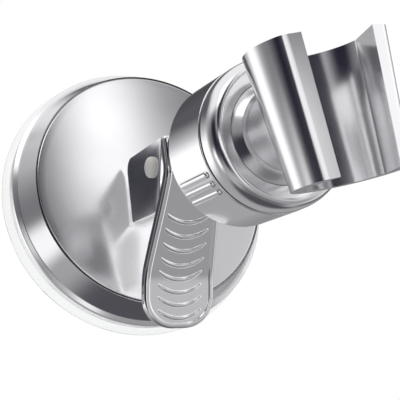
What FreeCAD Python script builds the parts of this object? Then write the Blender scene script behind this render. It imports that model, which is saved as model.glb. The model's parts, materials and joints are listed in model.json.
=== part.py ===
import FreeCAD, Part
import math
import os
import Sketcher
from FreeCAD import Vector, Rotation, Placement

# Hand shower holder on a suction cup. Millimetres, +Z up, the wall is the plane y = 0 and the
# holder stands out of it towards -Y. The origin is the centre of the cup's face on the wall.
# Base pieces are drawn with their own z along the way out of the wall and their y upwards.
# Arm pieces are drawn with their own z along the barrel's axis.

SIZES = [
    # suction cup
    ("cup_radius", 44.8, "outer edge of the cup on the wall"),
    ("cup_seal_width", 8.8, "flat sealing ring on the wall"),
    ("cup_edge_height", 1.4, "thin outer edge"),
    ("cup_rim_inset", 1.9, "edge to the upright rim wall"),
    ("cup_rim_height", 7.0, "wall to the cover's lip"),
    ("cup_rim_width", 5.4, "flat top of the rim"),
    ("cup_web_top", 5.2, "top of the web between rim and boss"),
    ("cup_hollow", 3.8, "height of the hollow under the cup"),
    ("cup_boss_radius", 14.0, "boss that holds the stem's foot"),
    ("cup_boss_top", 9.2, "top of the boss"),
    # cover
    ("lip_radius", 43.4, "outer radius of the cover's lip"),
    ("lip_thick", 1.4, "thickness of the lip at its edge"),
    ("lip_slope", 0.8, "height of the sloped top of the lip"),
    ("lip_ledge", 1.4, "lip outside the foot of the wide bevel"),
    ("bevel_width", 3.3, "width of the wide bevel, seen from the front"),
    ("bevel_height", 8.6, "rise of the wide bevel"),
    ("groove_width", 0.6, "fine groove round the face"),
    ("groove_depth", 0.5, "depth of that groove"),
    ("face_crown", 1.2, "rise of the face to its centre"),
    ("cover_wall", 2.3, "wall of the cover"),
    ("cover_rib_count", 8, "ribs under the cover"),
    ("cover_rib_thick", 1.6, "thickness of a rib"),
    ("guide_wall", 2.6, "wall of the guide round the stem"),
    ("guide_depth", 5.0, "length of the guide under the face"),
    # stem and pin
    ("stem_width", 9.2, "stem across the pin's direction, along X"),
    ("stem_height", 10.4, "stem, up and down"),
    ("foot_radius", 11.0, "foot moulded into the cup"),
    ("foot_thick", 2.2, "thickness of the foot"),
    ("foot_bottom", 5.4, "foot above the wall"),
    ("pin_height", 40.2, "pin's axis above the wall"),
    ("stem_drop", 1.8, "stem and pin under the cup's centre"),
    ("pin_radius", 3.2, "cross pin"),
    ("pin_stand_out", 1.9, "pin past each cheek"),
    ("pin_chamfer", 0.5, "edge of the pin's ends"),
    # lever
    ("lever_half_top", 9.2, "half the lever's width at the cheeks"),
    ("lever_half_paddle", 11.5, "half the paddle's width"),
    ("lever_thick", 3.4, "plate of the lever"),
    ("lever_top", 4.6, "top edge above the cup's centre"),
    ("lever_front", 51.0, "front of the upper plate above the wall"),
    ("lever_upper_length", 11.1, "upper plate, along its front"),
    ("lever_slope_length", 33.0, "sloping plate, along its front"),
    ("lever_tip_length", 16.2, "tip plate, along its front"),
    ("lever_slope", 37.0, "lean of the sloping plate, degrees"),
    ("lever_tip_slope", 17.0, "lean of the tip plate, degrees"),
    ("lever_upper_bend", 8.0, "bend radius under the upper plate"),
    ("lever_lower_bend", 18.0, "bend radius above the tip plate"),
    ("lever_flare_start", 11.5, "cup's centre down to where the lever widens"),
    ("lever_flare_end", 33.0, "cup's centre down to the full width"),
    ("lever_flare_round", 30.0, "easing of the outline where it starts and stops widening"),
    ("lever_tip_corner", 9.5, "corner radius of the tip"),
    ("lever_edge_round", 1.3, "rounding of the lever's rim"),
    ("field_inset", 1.6, "raised rim round the field with the arcs"),
    ("field_depth", 0.35, "field below its rim"),
    ("cheek_thick", 2.0, "thickness of a cheek"),
    ("cheek_clear", 1.3, "cheek's edge above the crown of the face"),
    ("cheek_top_corner", 7.4, "wall-side corner above the cup's centre"),
    ("cheek_bottom", 13.4, "wall-side corner under the cup's centre"),
    ("cheek_bottom_depth", 16.2, "lower edge of the cheek"),
    ("cheek_bottom_drop", 2.2, "fall of that edge to the plate"),
    ("cheek_round", 4.6, "upper wall-side corner"),
    ("cheek_round_small", 1.2, "lower wall-side corner"),
    ("cam_radius", 4.0, "round end of the cam"),
    ("cam_thick", 2.0, "cam inside each cheek"),
    ("rib_count", 8, "raised arcs on the lever"),
    ("rib_first", 19.6, "cup's centre down to the first arc"),
    ("rib_pitch", 3.7, "arc to arc"),
    ("rib_radius", 10.6, "radius of an arc"),
    ("rib_width", 1.3, "width of an arc's bead"),
    ("rib_height", 0.6, "height of a bead"),
    ("rib_half_angle", 42.0, "half the sweep of an arc, degrees"),
    # barrel axis
    ("arm_pitch", 7.9, "barrel's fall from level, degrees"),
    ("arm_offset", 2.4, "where the barrel's axis meets the wall's normal, behind the wall"),
    # tilt knuckle, places along the barrel's axis
    ("tilt_at", 67.5, "tilt axis"),
    ("fork_width", 14.0, "fork across its ears"),
    ("fork_slot", 7.8, "slot between the ears"),
    ("fork_foot_height", 7.6, "foot of the fork on the lever"),
    ("fork_foot_thick", 4.0, "thickness of the foot"),
    ("fork_inset", 1.0, "foot under the lever's top edge"),
    ("fork_ear_radius", 6.6, "ear round the tilt axis"),
    ("fork_edge", 0.5, "bevel of the ears"),
    ("fork_screw_spacing", 5.6, "between the fork's two screws"),
    ("screw_radius", 1.3, "shank of a fork screw"),
    ("screw_head_radius", 2.2, "head of a fork screw"),
    ("screw_head_thick", 1.6, "head of a fork screw"),
    ("screw_bite", 3.2, "depth of a fork screw in the foot"),
    ("tongue_thick", 6.2, "tongue between the ears"),
    ("tongue_radius", 6.2, "end of the tongue"),
    ("tongue_foot_length", 7.0, "spread of the tongue at the core"),
    ("tongue_foot_height", 19.0, "tongue where it meets the core"),
    ("washer_thick", 0.7, "friction washer"),
    ("washer_radius", 5.8, "friction washer"),
    ("bolt_radius", 2.0, "tilt bolt"),
    ("bolt_head_radius", 3.7, "head of the tilt bolt"),
    ("bolt_head_thick", 2.3, "head of the tilt bolt"),
    ("bolt_slot", 0.9, "driver slots"),
    ("nut_flats", 7.0, "nut across its flats"),
    ("nut_thick", 3.0, "thickness of the nut"),
    # barrel, places along its axis
    ("barrel_back", 79.8, "back edge of the sleeve"),
    ("barrel_length", 19.4, "length of the sleeve"),
    ("barrel_radius", 20.3, "outside of the sleeve"),
    ("barrel_wall", 1.8, "wall of the sleeve"),
    ("barrel_lip", 1.6, "front lip of the sleeve"),
    ("barrel_edge", 0.7, "rounded edges of the sleeve"),
    ("bar_groups", 3, "groups of grip bars"),
    ("bar_angle", 217.0, "middle bar of the first group, degrees from +X"),
    ("bar_step", 7.6, "bar to bar, degrees"),
    ("bar_width", 1.8, "width of a grip bar"),
    ("bar_height", 0.7, "height of a grip bar"),
    ("bar_start", 1.6, "bars from the sleeve's back edge"),
    ("bar_length", 16.2, "length of a grip bar"),
    ("thread_clear", 0.2, "sleeve round the core"),
    ("core_wall", 2.4, "wall of the core"),
    ("core_recess", 0.6, "back of the core inside the sleeve"),
    ("core_floor", 3.6, "floor of the core"),
    ("flange_thick", 1.4, "rear flange of the collar"),
    ("seam", 0.4, "dark seam between sleeve and collar"),
    ("lip_clear", 0.15, "collar's neck in the sleeve's lip"),
    ("collar_neck_inset", 2.8, "collar's neck inside the sleeve's radius"),
    ("collar_inset", 0.1, "collar inside the sleeve's radius"),
    ("collar_length", 7.1, "collar in front of the seam"),
    ("collar_step", 2.7, "straight part of the collar's side"),
    ("collar_bead", 0.4, "fine edges of the collar"),
    ("collar_shoulder", 5.6, "rounding of the collar's shoulder"),
    ("collar_rim_inset", 2.5, "front rim inside the collar's side"),
    ("dish_width", 4.0, "dished front, from its rim to the bearing"),
    ("collar_dish", 2.6, "depth of the dished front"),
    ("collar_bearing", 3.1, "length of the bearing in the collar"),
    ("hub_clear", 0.05, "foot of the clip in the bearing, radial"),
    ("hub_rise", 2.0, "cone from the dish to the neck"),
    ("neck_inset", 2.25, "clip's neck inside its foot"),
    ("hub_ring_thick", 1.5, "soft ring in the foot's groove"),
    ("hub_washer_gap", 0.6, "washer behind the foot, inside the core"),
    ("hub_washer_thick", 1.2, "washer behind the foot"),
    ("spring_gap", 0.9, "room for the dished washer"),
    ("spring_side_gap", 0.4, "dished washer inside the collar"),
    ("spring_washer_width", 1.4, "width of the dished washer"),
    ("spring_washer_thick", 0.3, "dished washer"),
    ("hub_screw_radius", 2.0, "shank of the hub screw"),
    ("hub_screw_head", 4.2, "head of the hub screw"),
    ("hub_screw_head_thick", 2.4, "head of the hub screw"),
    ("hub_screw_length", 8.0, "shank past the washer"),
    # clip, sections across its channel
    ("clip_turn", 10.2, "clip turned about the barrel's axis at rest, degrees"),
    ("clip_top", 16.0, "top of the clip above the barrel's axis"),
    ("clip_bottom", 17.6, "bottom of the clip under the barrel's axis"),
    ("bore_at_top", 128.5, "centre of the channel along the barrel, at the top"),
    ("bore_at_bottom", 130.2, "the same at the bottom"),
    ("bore_top_radius", 13.6, "channel at the top"),
    ("bore_bottom_radius", 11.0, "channel at the bottom"),
    ("clip_wall_top", 3.7, "wall at the top"),
    ("clip_wall_bottom", 3.4, "wall at the bottom"),
    ("mouth_top", 19.6, "mouth between the noses, at the top"),
    ("mouth_bottom", 16.6, "mouth between the noses, at the bottom"),
    ("nose_lead", 0.9, "inner corner of a nose in front of its outer corner"),
    ("mouth_run", 3.0, "channel drawn on past the noses"),
    ("nose_width_top", 4.6, "width of a nose at the top"),
    ("nose_width_bottom", 4.0, "width of a nose at the bottom"),
    ("crease_back_top", 1.9, "crease behind the channel's centre, top"),
    ("crease_back_bottom", 1.5, "crease behind the channel's centre, bottom"),
    # clearances
    ("slide_clear", 0.3, "stem in the cover's hole"),
    ("cam_clear", 0.3, "cam over the face"),
    ("running_clear", 0.05, "turning fits, radial"),
    ("thread_fit", 0.02, "screws in their holes, radial"),
    ("cut_over", 1.0, "run of a cut past the face that it opens"),
]

V = {name: number for name, number, note in SIZES}
doc = FreeCAD.newDocument("hand_shower_holder")
sheet = doc.addObject("Spreadsheet::Sheet", "Sizes")
for row, (name, number, note) in enumerate(SIZES, start=1):
    sheet.set("A%d" % row, name)
    sheet.set("B%d" % row, str(number))
    sheet.set("C%d" % row, note)
    sheet.setAlias("B%d" % row, name)
doc.recompute()


class Size:
    """A length or angle that knows its number and its formula in the sheet."""

    def __init__(self, number, formula):
        self.number = number
        self.formula = formula

    def __add__(self, other):
        other = as_size(other)
        return Size(self.number + other.number, "(%s + %s)" % (self.formula, other.formula))

    def __radd__(self, other):
        return as_size(other) + self

    def __sub__(self, other):
        other = as_size(other)
        return Size(self.number - other.number, "(%s - %s)" % (self.formula, other.formula))

    def __rsub__(self, other):
        return as_size(other) - self

    def __mul__(self, other):
        other = as_size(other)
        return Size(self.number * other.number, "(%s * %s)" % (self.formula, other.formula))

    def __rmul__(self, other):
        return as_size(other) * self

    def __truediv__(self, other):
        other = as_size(other)
        return Size(self.number / other.number, "(%s / %s)" % (self.formula, other.formula))

    def __neg__(self):
        return Size(-self.number, "(0 - %s)" % self.formula)


def as_size(value):
    """A plain number as a Size."""
    if isinstance(value, Size):
        return value
    return Size(float(value), "%.6f" % value)


def S(name):
    """The size of that name in the sheet."""
    return Size(V[name], "Sizes.%s" % name)


def sin(angle):
    return Size(math.sin(math.radians(angle.number)), "sin(%s)" % angle.formula)


def cos(angle):
    return Size(math.cos(math.radians(angle.number)), "cos(%s)" % angle.formula)


def root(value):
    return Size(math.sqrt(value.number), "sqrt(%s)" % value.formula)


# Frames

BASE = Placement(Vector(0, 0, 0), Rotation(Vector(1, 0, 0), 90))
ARM = Placement(Vector(0, V["arm_offset"], 0), Rotation(Vector(1, 0, 0), 90 + V["arm_pitch"]))


# Helpers that draw

PLANES = {"XY": "XY_Plane", "XZ": "XZ_Plane", "YZ": "YZ_Plane"}


def new_body(label, placement):
    body = doc.addObject("PartDesign::Body", label)
    body.Label = label
    body.Placement = placement
    return body


def origin_plane(body, plane):
    for feature in body.Origin.OriginFeatures:
        if feature.Role == PLANES[plane]:
            return feature
    raise RuntimeError("no plane " + plane)


def empty_sketch(body, name, plane, lift=None):
    sketch = body.newObject("Sketcher::SketchObject", name)
    sketch.AttachmentSupport = [(origin_plane(body, plane), "")]
    sketch.MapMode = "FlatFace"
    if lift is not None:
        sketch.setExpression(".AttachmentOffset.Base.z", as_size(lift).formula)
    return sketch


def bind(sketch, index, size):
    sketch.setExpression("Constraints[%d]" % index, size.formula)


def hold_point(sketch, geometry, end, x, y):
    """Ties a point of the sketch to its two sizes from the origin."""
    if abs(x.number) < 1e-9:
        sketch.addConstraint(Sketcher.Constraint("PointOnObject", geometry, end, -2))
    else:
        index = sketch.addConstraint(Sketcher.Constraint("DistanceX", -1, 1, geometry, end, x.number))
        bind(sketch, index, x)
    if abs(y.number) < 1e-9:
        sketch.addConstraint(Sketcher.Constraint("PointOnObject", geometry, end, -1))
    else:
        index = sketch.addConstraint(Sketcher.Constraint("DistanceY", -1, 1, geometry, end, y.number))
        bind(sketch, index, y)


def hold_level(sketch, geometry, flat, corner):
    """Holds an arc's centre level with its ends."""
    x, y = corner
    kind, size, axis = ("DistanceY", y, -1) if flat else ("DistanceX", x, -2)
    if abs(size.number) < 1e-9:
        sketch.addConstraint(Sketcher.Constraint("PointOnObject", geometry, 3, axis))
        return
    index = sketch.addConstraint(Sketcher.Constraint(kind, -1, 1, geometry, 3, size.number))
    bind(sketch, index, size)


def arc_centre(start, end, radius, major):
    """Centre of the arc from start to end that turns left for a positive radius."""
    middle = (start + end) * 0.5
    along = end - start
    left = Vector(-along.y, along.x, 0)
    left.normalize()
    reach = math.sqrt(max(radius * radius - along.Length ** 2 / 4, 0))
    side = 1 if radius > 0 else -1
    if major:
        side = -side
    return middle + left * (reach * side)


def add_outline(sketch, corners, arcs=None):
    """Adds a closed outline whose corners are pairs of sizes. arcs gives a side's radius by its
    number: positive turns left, and a second value marks an arc over half a turn."""
    arcs = arcs or {}
    first = sketch.GeometryCount
    corners = [(as_size(x), as_size(y)) for x, y in corners]
    points = [Vector(x.number, y.number, 0) for x, y in corners]
    count = len(points)
    ends = []
    for side in range(count):
        start = points[side]
        end = points[(side + 1) % count]
        if side not in arcs:
            sketch.addGeometry(Part.LineSegment(start, end), False)
            ends.append((1, 2))
            continue
        radius, major = arcs[side]
        centre = arc_centre(start, end, radius.number, major)
        circle = Part.Circle(centre, Vector(0, 0, 1), abs(radius.number))
        turns_left = radius.number > 0
        low, high = (start, end) if turns_left else (end, start)
        sketch.addGeometry(Part.ArcOfCircle(circle, circle.parameter(low), circle.parameter(high)), False)
        ends.append((1, 2) if turns_left else (2, 1))
    for side in range(count):
        after = (side + 1) % count
        here, there = ends[side][1], ends[after][0]
        sketch.addConstraint(Sketcher.Constraint("Coincident", first + side, here, first + after, there))
    for side in range(count):
        hold_point(sketch, first + side, ends[side][0], *corners[side])
    for side, (radius, major) in arcs.items():
        size = radius if radius.number > 0 else -radius
        chord = points[(side + 1) % count] - points[side]
        if same(chord.Length, 2 * size.number, 1e-6):
            # a half circle takes its size from its ends, and only its centre is held level with them
            hold_level(sketch, first + side, abs(chord.x) > abs(chord.y), corners[side])
            continue
        index = sketch.addConstraint(Sketcher.Constraint("Radius", first + side, size.number))
        bind(sketch, index, size)


def closed_sketch(body, name, plane, corners, arcs=None, lift=None):
    sketch = empty_sketch(body, name, plane, lift)
    add_outline(sketch, corners, arcs)
    return sketch


def round_sketch(body, name, plane, centre, radius, lift=None):
    sketch = empty_sketch(body, name, plane, lift)
    x, y = [as_size(value) for value in centre]
    radius = as_size(radius)
    sketch.addGeometry(Part.Circle(Vector(x.number, y.number, 0), Vector(0, 0, 1), radius.number), False)
    hold_point(sketch, 0, 3, x, y)
    index = sketch.addConstraint(Sketcher.Constraint("Radius", 0, radius.number))
    bind(sketch, index, radius)
    return sketch


def rectangle(x, y, width, height):
    """Corners of a rectangle round a centre."""
    x, y = as_size(x), as_size(y)
    half_w, half_h = as_size(width) / 2, as_size(height) / 2
    left, right, low, high = x - half_w, x + half_w, y - half_h, y + half_h
    return [(left, low), (right, low), (right, high), (left, high)]


def revolve(body, name, sketch, cut=False):
    """Turns a sketch round its own upright axis."""
    kind = "PartDesign::Groove" if cut else "PartDesign::Revolution"
    feature = body.newObject(kind, name)
    feature.Profile = sketch
    feature.ReferenceAxis = (sketch, ["V_Axis"])
    feature.Angle = 360
    doc.recompute()
    return feature


def pad(body, name, sketch, length, both_ways=False, reverse=False, cut=False):
    """Thickens or cuts a sketch, one way or evenly both ways."""
    before = volume_of(body)
    feature = body.newObject("PartDesign::Pocket" if cut else "PartDesign::Pad", name)
    feature.Profile = sketch
    feature.setExpression("Length", as_size(length).formula)
    if both_ways:
        feature.SideType = "Symmetric"
    feature.Reversed = reverse
    doc.recompute()
    if cut and volume_of(body) > before - 0.01:
        raise RuntimeError("%s cuts nothing" % name)
    return feature


def volume_of(body):
    if body.Shape.isNull():
        return 0.0
    return body.Shape.Volume


def round_edges(body, name, radius, wanted, chamfer=False):
    """Rounds or bevels the edges of the body's tip that the test accepts."""
    base = body.Tip
    names = ["Edge%d" % (i + 1) for i, edge in enumerate(base.Shape.Edges) if wanted(edge, base.Shape)]
    if not names:
        raise RuntimeError("%s finds no edge" % name)
    feature = body.newObject("PartDesign::Chamfer" if chamfer else "PartDesign::Fillet", name)
    feature.Base = (base, names)
    feature.setExpression("Size" if chamfer else "Radius", as_size(radius).formula)
    doc.recompute()
    if not feature.isValid() or feature.Shape.isNull():
        raise RuntimeError("%s fails" % name)
    return feature


def polar(body, name, feature, count_name):
    """Repeats a feature round the body's own z axis."""
    pattern = body.newObject("PartDesign::PolarPattern", name)
    pattern.Originals = [feature]
    z_axis = [item for item in body.Origin.OriginFeatures if item.Role == "Z_Axis"][0]
    pattern.Axis = (z_axis, [""])
    pattern.Angle = 360
    pattern.setExpression("Occurrences", S(count_name).formula)
    body.Tip = pattern
    doc.recompute()
    return pattern


def same(value, target, slack=1e-4):
    return abs(value - target) < slack


# Values that several pieces share

lip_bottom = S("cup_rim_height")
lip_top = lip_bottom + S("lip_thick") + S("lip_slope")
bevel_top = lip_top + S("bevel_height")
bevel_radius = S("lip_radius") - S("lip_ledge")
bevel_top_radius = bevel_radius - S("bevel_width")
face_edge_radius = bevel_top_radius - S("groove_width")
face_rise = S("face_crown")
face_radius = (face_edge_radius * face_edge_radius + face_rise * face_rise) / (2 * face_rise)
crown = bevel_top + face_rise
cheek_edge = crown + S("cheek_clear")
lever_back = S("lever_front") - S("lever_thick")
plate_middle = lever_back + S("lever_thick") / 2
cheek_inner = S("lever_half_top") - S("cheek_thick")
cam_inner = cheek_inner - S("cam_thick")
fit = S("thread_fit")
run = S("running_clear")
over = S("cut_over")
stem_up = -S("stem_drop")

# middle of the fork's foot on the lever, and the tilt axis, in the base's frame
fork_up = S("lever_top") - S("fork_inset") - S("fork_foot_height") / 2
tilt_up = -(S("tilt_at") * sin(S("arm_pitch")))
tilt_out = S("tilt_at") * cos(S("arm_pitch")) - S("arm_offset")

# places along the barrel's axis
sleeve_front = S("barrel_back") + S("barrel_length")
sleeve_bore = S("barrel_radius") - S("barrel_wall")
lip_back = sleeve_front - S("barrel_lip")
flange_front = lip_back - 2 * run
flange_back = flange_front - S("flange_thick")
core_back = S("barrel_back") + S("core_recess")
core_front = flange_back - 4 * run
core_radius = sleeve_bore - S("thread_clear")
core_bore = core_radius - S("core_wall")
collar_back = sleeve_front + S("seam")
collar_front = collar_back + S("collar_length")
dish_floor = collar_front - S("collar_dish")
bearing_back = dish_floor - S("collar_bearing")
collar_radius = S("barrel_radius") - S("collar_inset")
collar_rim = collar_radius - S("collar_rim_inset")
bearing_radius = collar_rim - S("dish_width")
hub_radius = bearing_radius - S("hub_clear")
neck_radius = hub_radius - S("neck_inset")
collar_neck = S("barrel_radius") - S("collar_neck_inset")
washer_front = bearing_back - S("spring_gap")
washer_back = washer_front - S("hub_washer_thick")
hub_back = washer_front + run
ear_inner = S("fork_slot") / 2
ear_outer = S("fork_width") / 2
tongue_side = S("tongue_thick") / 2


# Suction cup: sealing ring, upright rim, thin web and a boss round the stem's foot

def make_suction_cup():
    body = new_body("suction_cup", BASE)
    seal_inner = S("cup_radius") - S("cup_seal_width")
    rim_outer = S("cup_radius") - S("cup_rim_inset")
    rim_inner = rim_outer - S("cup_rim_width")
    web_drop = S("cup_rim_height") - S("cup_web_top")
    section = [
        (0, S("cup_hollow")),
        (S("foot_radius"), S("cup_hollow")),
        (seal_inner, 0),
        (S("cup_radius"), 0),
        (S("cup_radius"), S("cup_edge_height")),
        (rim_outer, S("cup_edge_height") + S("cup_rim_inset")),
        (rim_outer, S("cup_rim_height") - run),
        (rim_inner, S("cup_rim_height") - run),
        (rim_inner - web_drop, S("cup_web_top")),
        (S("cup_boss_radius"), S("cup_web_top")),
        (S("cup_boss_radius"), S("cup_boss_top")),
        (0, S("cup_boss_top")),
    ]
    revolve(body, "cup_turned", closed_sketch(body, "cup_section", "XZ", section))
    room = S("foot_thick") + 2 * run
    foot_room = round_sketch(body, "foot_room", "XY", (0, 0), S("foot_radius") + run, S("foot_bottom") - run)
    pad(body, "foot_pocket", foot_room, room, reverse=True, cut=True)
    hole = rectangle(0, stem_up, S("stem_width") + 2 * run, S("stem_height") + 2 * run)
    shaft_room = closed_sketch(body, "shaft_room", "XY", hole, lift=S("foot_bottom"))
    pad(body, "shaft_pocket", shaft_room, S("cup_boss_top") - S("foot_bottom") + over, reverse=True, cut=True)


# Cover: plated shell with a lip, a wide bevel, a fine groove, a crowned face, ribs and a guide

def make_base_cover():
    body = new_body("base_cover", BASE)
    wall = S("cover_wall")
    inner_radius = bevel_radius - wall
    under_face = bevel_top - wall
    section = [
        (0, crown - wall),
        (0, crown),
        (face_edge_radius, bevel_top),
        (face_edge_radius + S("groove_width") / 2, bevel_top - S("groove_depth")),
        (bevel_top_radius, bevel_top),
        (bevel_radius, lip_top),
        (S("lip_radius"), lip_bottom + S("lip_thick")),
        (S("lip_radius"), lip_bottom),
        (inner_radius, lip_bottom),
        (bevel_top_radius - wall, under_face),
    ]
    shell = closed_sketch(body, "cover_section", "XZ", section, {1: (-face_radius, False)})
    revolve(body, "cover_turned", shell)
    rib_foot = under_face - S("guide_depth")
    rib_inner = S("stem_height") + S("stem_drop")
    outline = closed_sketch(body, "rib_outline", "XZ", [
        (rib_inner, rib_foot),
        (inner_radius - wall, rib_foot),
        (bevel_top_radius - wall - S("groove_width"), under_face + run),
        (rib_inner, under_face + S("cover_wall") / 2),
    ])
    rib = pad(body, "cover_rib", outline, S("cover_rib_thick"), both_ways=True)
    polar(body, "cover_ribs", rib, "cover_rib_count")
    room_w = S("stem_width") + 2 * S("slide_clear")
    room_h = S("stem_height") + 2 * S("slide_clear")
    post = rectangle(0, stem_up, room_w + 2 * S("guide_wall"), room_h + 2 * S("guide_wall"))
    guide = closed_sketch(body, "guide_outline", "XY", post, lift=rib_foot)
    pad(body, "stem_guide", guide, S("guide_depth") + wall)
    hole = closed_sketch(body, "stem_hole", "XY", rectangle(0, stem_up, room_w, room_h))
    pad(body, "stem_opening", hole, crown + over, reverse=True, cut=True)


# Stem: foot in the cup, shaft through the cover, round head on the pin

def make_cup_stem():
    body = new_body("cup_stem", BASE)
    foot = round_sketch(body, "foot_outline", "XY", (0, 0), S("foot_radius"), S("foot_bottom"))
    pad(body, "foot", foot, S("foot_thick"))
    section = rectangle(0, stem_up, S("stem_width"), S("stem_height"))
    shaft = closed_sketch(body, "shaft_outline", "XY", section, lift=S("foot_bottom"))
    pad(body, "shaft", shaft, S("pin_height") - S("foot_bottom"))
    head = round_sketch(body, "head_outline", "YZ", (stem_up, S("pin_height")), S("stem_height") / 2)
    pad(body, "head", head, S("stem_width"), both_ways=True)
    hole = round_sketch(body, "pin_hole", "YZ", (stem_up, S("pin_height")), S("pin_radius") + fit)
    pad(body, "pin_bore", hole, S("stem_width") + 2 * over, both_ways=True, cut=True)


def make_pivot_pin():
    body = new_body("pivot_pin", BASE)
    outline = round_sketch(body, "pin_outline", "YZ", (stem_up, S("pin_height")), S("pin_radius"))
    pad(body, "pin_rod", outline, 2 * (S("lever_half_top") + S("pin_stand_out")), both_ways=True)
    round_edges(body, "pin_ends", S("pin_chamfer"), lambda edge, shape: edge.Closed)


# Lever: S-shaped plate with a flared paddle, two cheeks with cams, and raised arcs

def lever_line(depth=None, run_out=None):
    """Corners of the plate's profile, as (up, out) pairs from its top to its tip, moved into the
    plate by a depth, with its two ends drawn out by a length."""
    slope, tip = S("lever_slope"), S("lever_tip_slope")
    depth = as_size(0) if depth is None else depth
    extra = as_size(0) if run_out is None else run_out
    half_upper, half_lower, mean_lower = slope / 2, (slope - tip) / 2, (slope + tip) / 2
    top = (S("lever_top"), S("lever_front"))
    upper = (top[0] - S("lever_upper_length"), top[1])
    lower = (upper[0] - S("lever_slope_length") * cos(slope), upper[1] - S("lever_slope_length") * sin(slope))
    reach = S("lever_tip_length") + extra
    end = (lower[0] - reach * cos(tip), lower[1] - reach * sin(tip))
    deep = depth / cos(half_lower)
    return [
        (top[0] + extra, top[1] - depth),
        (upper[0] + depth * sin(half_upper) / cos(half_upper), upper[1] - depth),
        (lower[0] + deep * sin(mean_lower), lower[1] - deep * cos(mean_lower)),
        (end[0] + depth * sin(tip), end[1] - depth * cos(tip)),
    ]


def bend(place):
    """Test for the straight edge across the plate at one corner of its profile."""
    up, out = place[0].number, place[1].number

    def wanted(edge, shape):
        box = edge.BoundBox
        straight = box.XLength > V["lever_half_top"] and box.YLength < 1e-3 and box.ZLength < 1e-3
        return straight and same(box.YMin, up, 1e-3) and same(box.ZMin, out, 1e-3)
    return wanted


def add_s_plate(body, name, front, back, upper_radii, lower_radii):
    """An S-shaped slab between two profile lines, with its four bends rounded."""
    profile = closed_sketch(body, name + "_profile", "YZ", front + back[::-1])
    pad(body, name, profile, 4 * S("lever_half_paddle"), both_ways=True)
    round_edges(body, name + "_bend_1", upper_radii[0], bend(front[1]))
    round_edges(body, name + "_bend_2", upper_radii[1], bend(back[1]))
    round_edges(body, name + "_bend_3", lower_radii[0], bend(front[2]))
    round_edges(body, name + "_bend_4", lower_radii[1], bend(back[2]))


def rim_of_plate(facing, below=None):
    """Test for the edges between the outline's walls and the plate's front or back."""
    def wanted(edge, shape):
        walls = 0
        faces = 0
        middle = edge.valueAt((edge.FirstParameter + edge.LastParameter) / 2)
        for face in shape.ancestorsOfType(edge, Part.Face):
            normal = face.normalAt(*face.Surface.parameter(middle))
            if abs(normal.z) < 1e-6:
                walls += 1
            elif normal.z * facing > 0.2:
                faces += 1
        if below is not None and edge.BoundBox.YMax > below + 1e-3:
            return False
        return walls == 1 and faces == 1
    return wanted


def upright_edge(side, up):
    """Test for the two edges through the plate at a corner of its outline."""
    def wanted(edge, shape):
        box = edge.BoundBox
        here = same(abs(box.XMin), side.number, 1e-3) and same(box.YMin, up.number, 1e-3)
        return here and box.XLength < 1e-3 and box.YLength < 1e-3
    return wanted


def plan_of_lever(inset, top):
    """The lever seen from the front, drawn in by an inset, with its two rounded corners."""
    half_top, half_paddle = S("lever_half_top") - inset, S("lever_half_paddle") - inset
    tip, corner = lever_line()[3][0] + inset, S("lever_tip_corner") - inset
    corners = [
        (half_top, top),
        (-half_top, top),
        (-half_top, -S("lever_flare_start")),
        (-half_paddle, -S("lever_flare_end")),
        (-half_paddle, tip + corner),
        (-half_paddle + corner, tip),
        (half_paddle - corner, tip),
        (half_paddle, tip + corner),
        (half_paddle, -S("lever_flare_end")),
        (half_top, -S("lever_flare_start")),
    ]
    return corners, {4: (corner, False), 6: (corner, False)}


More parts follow.
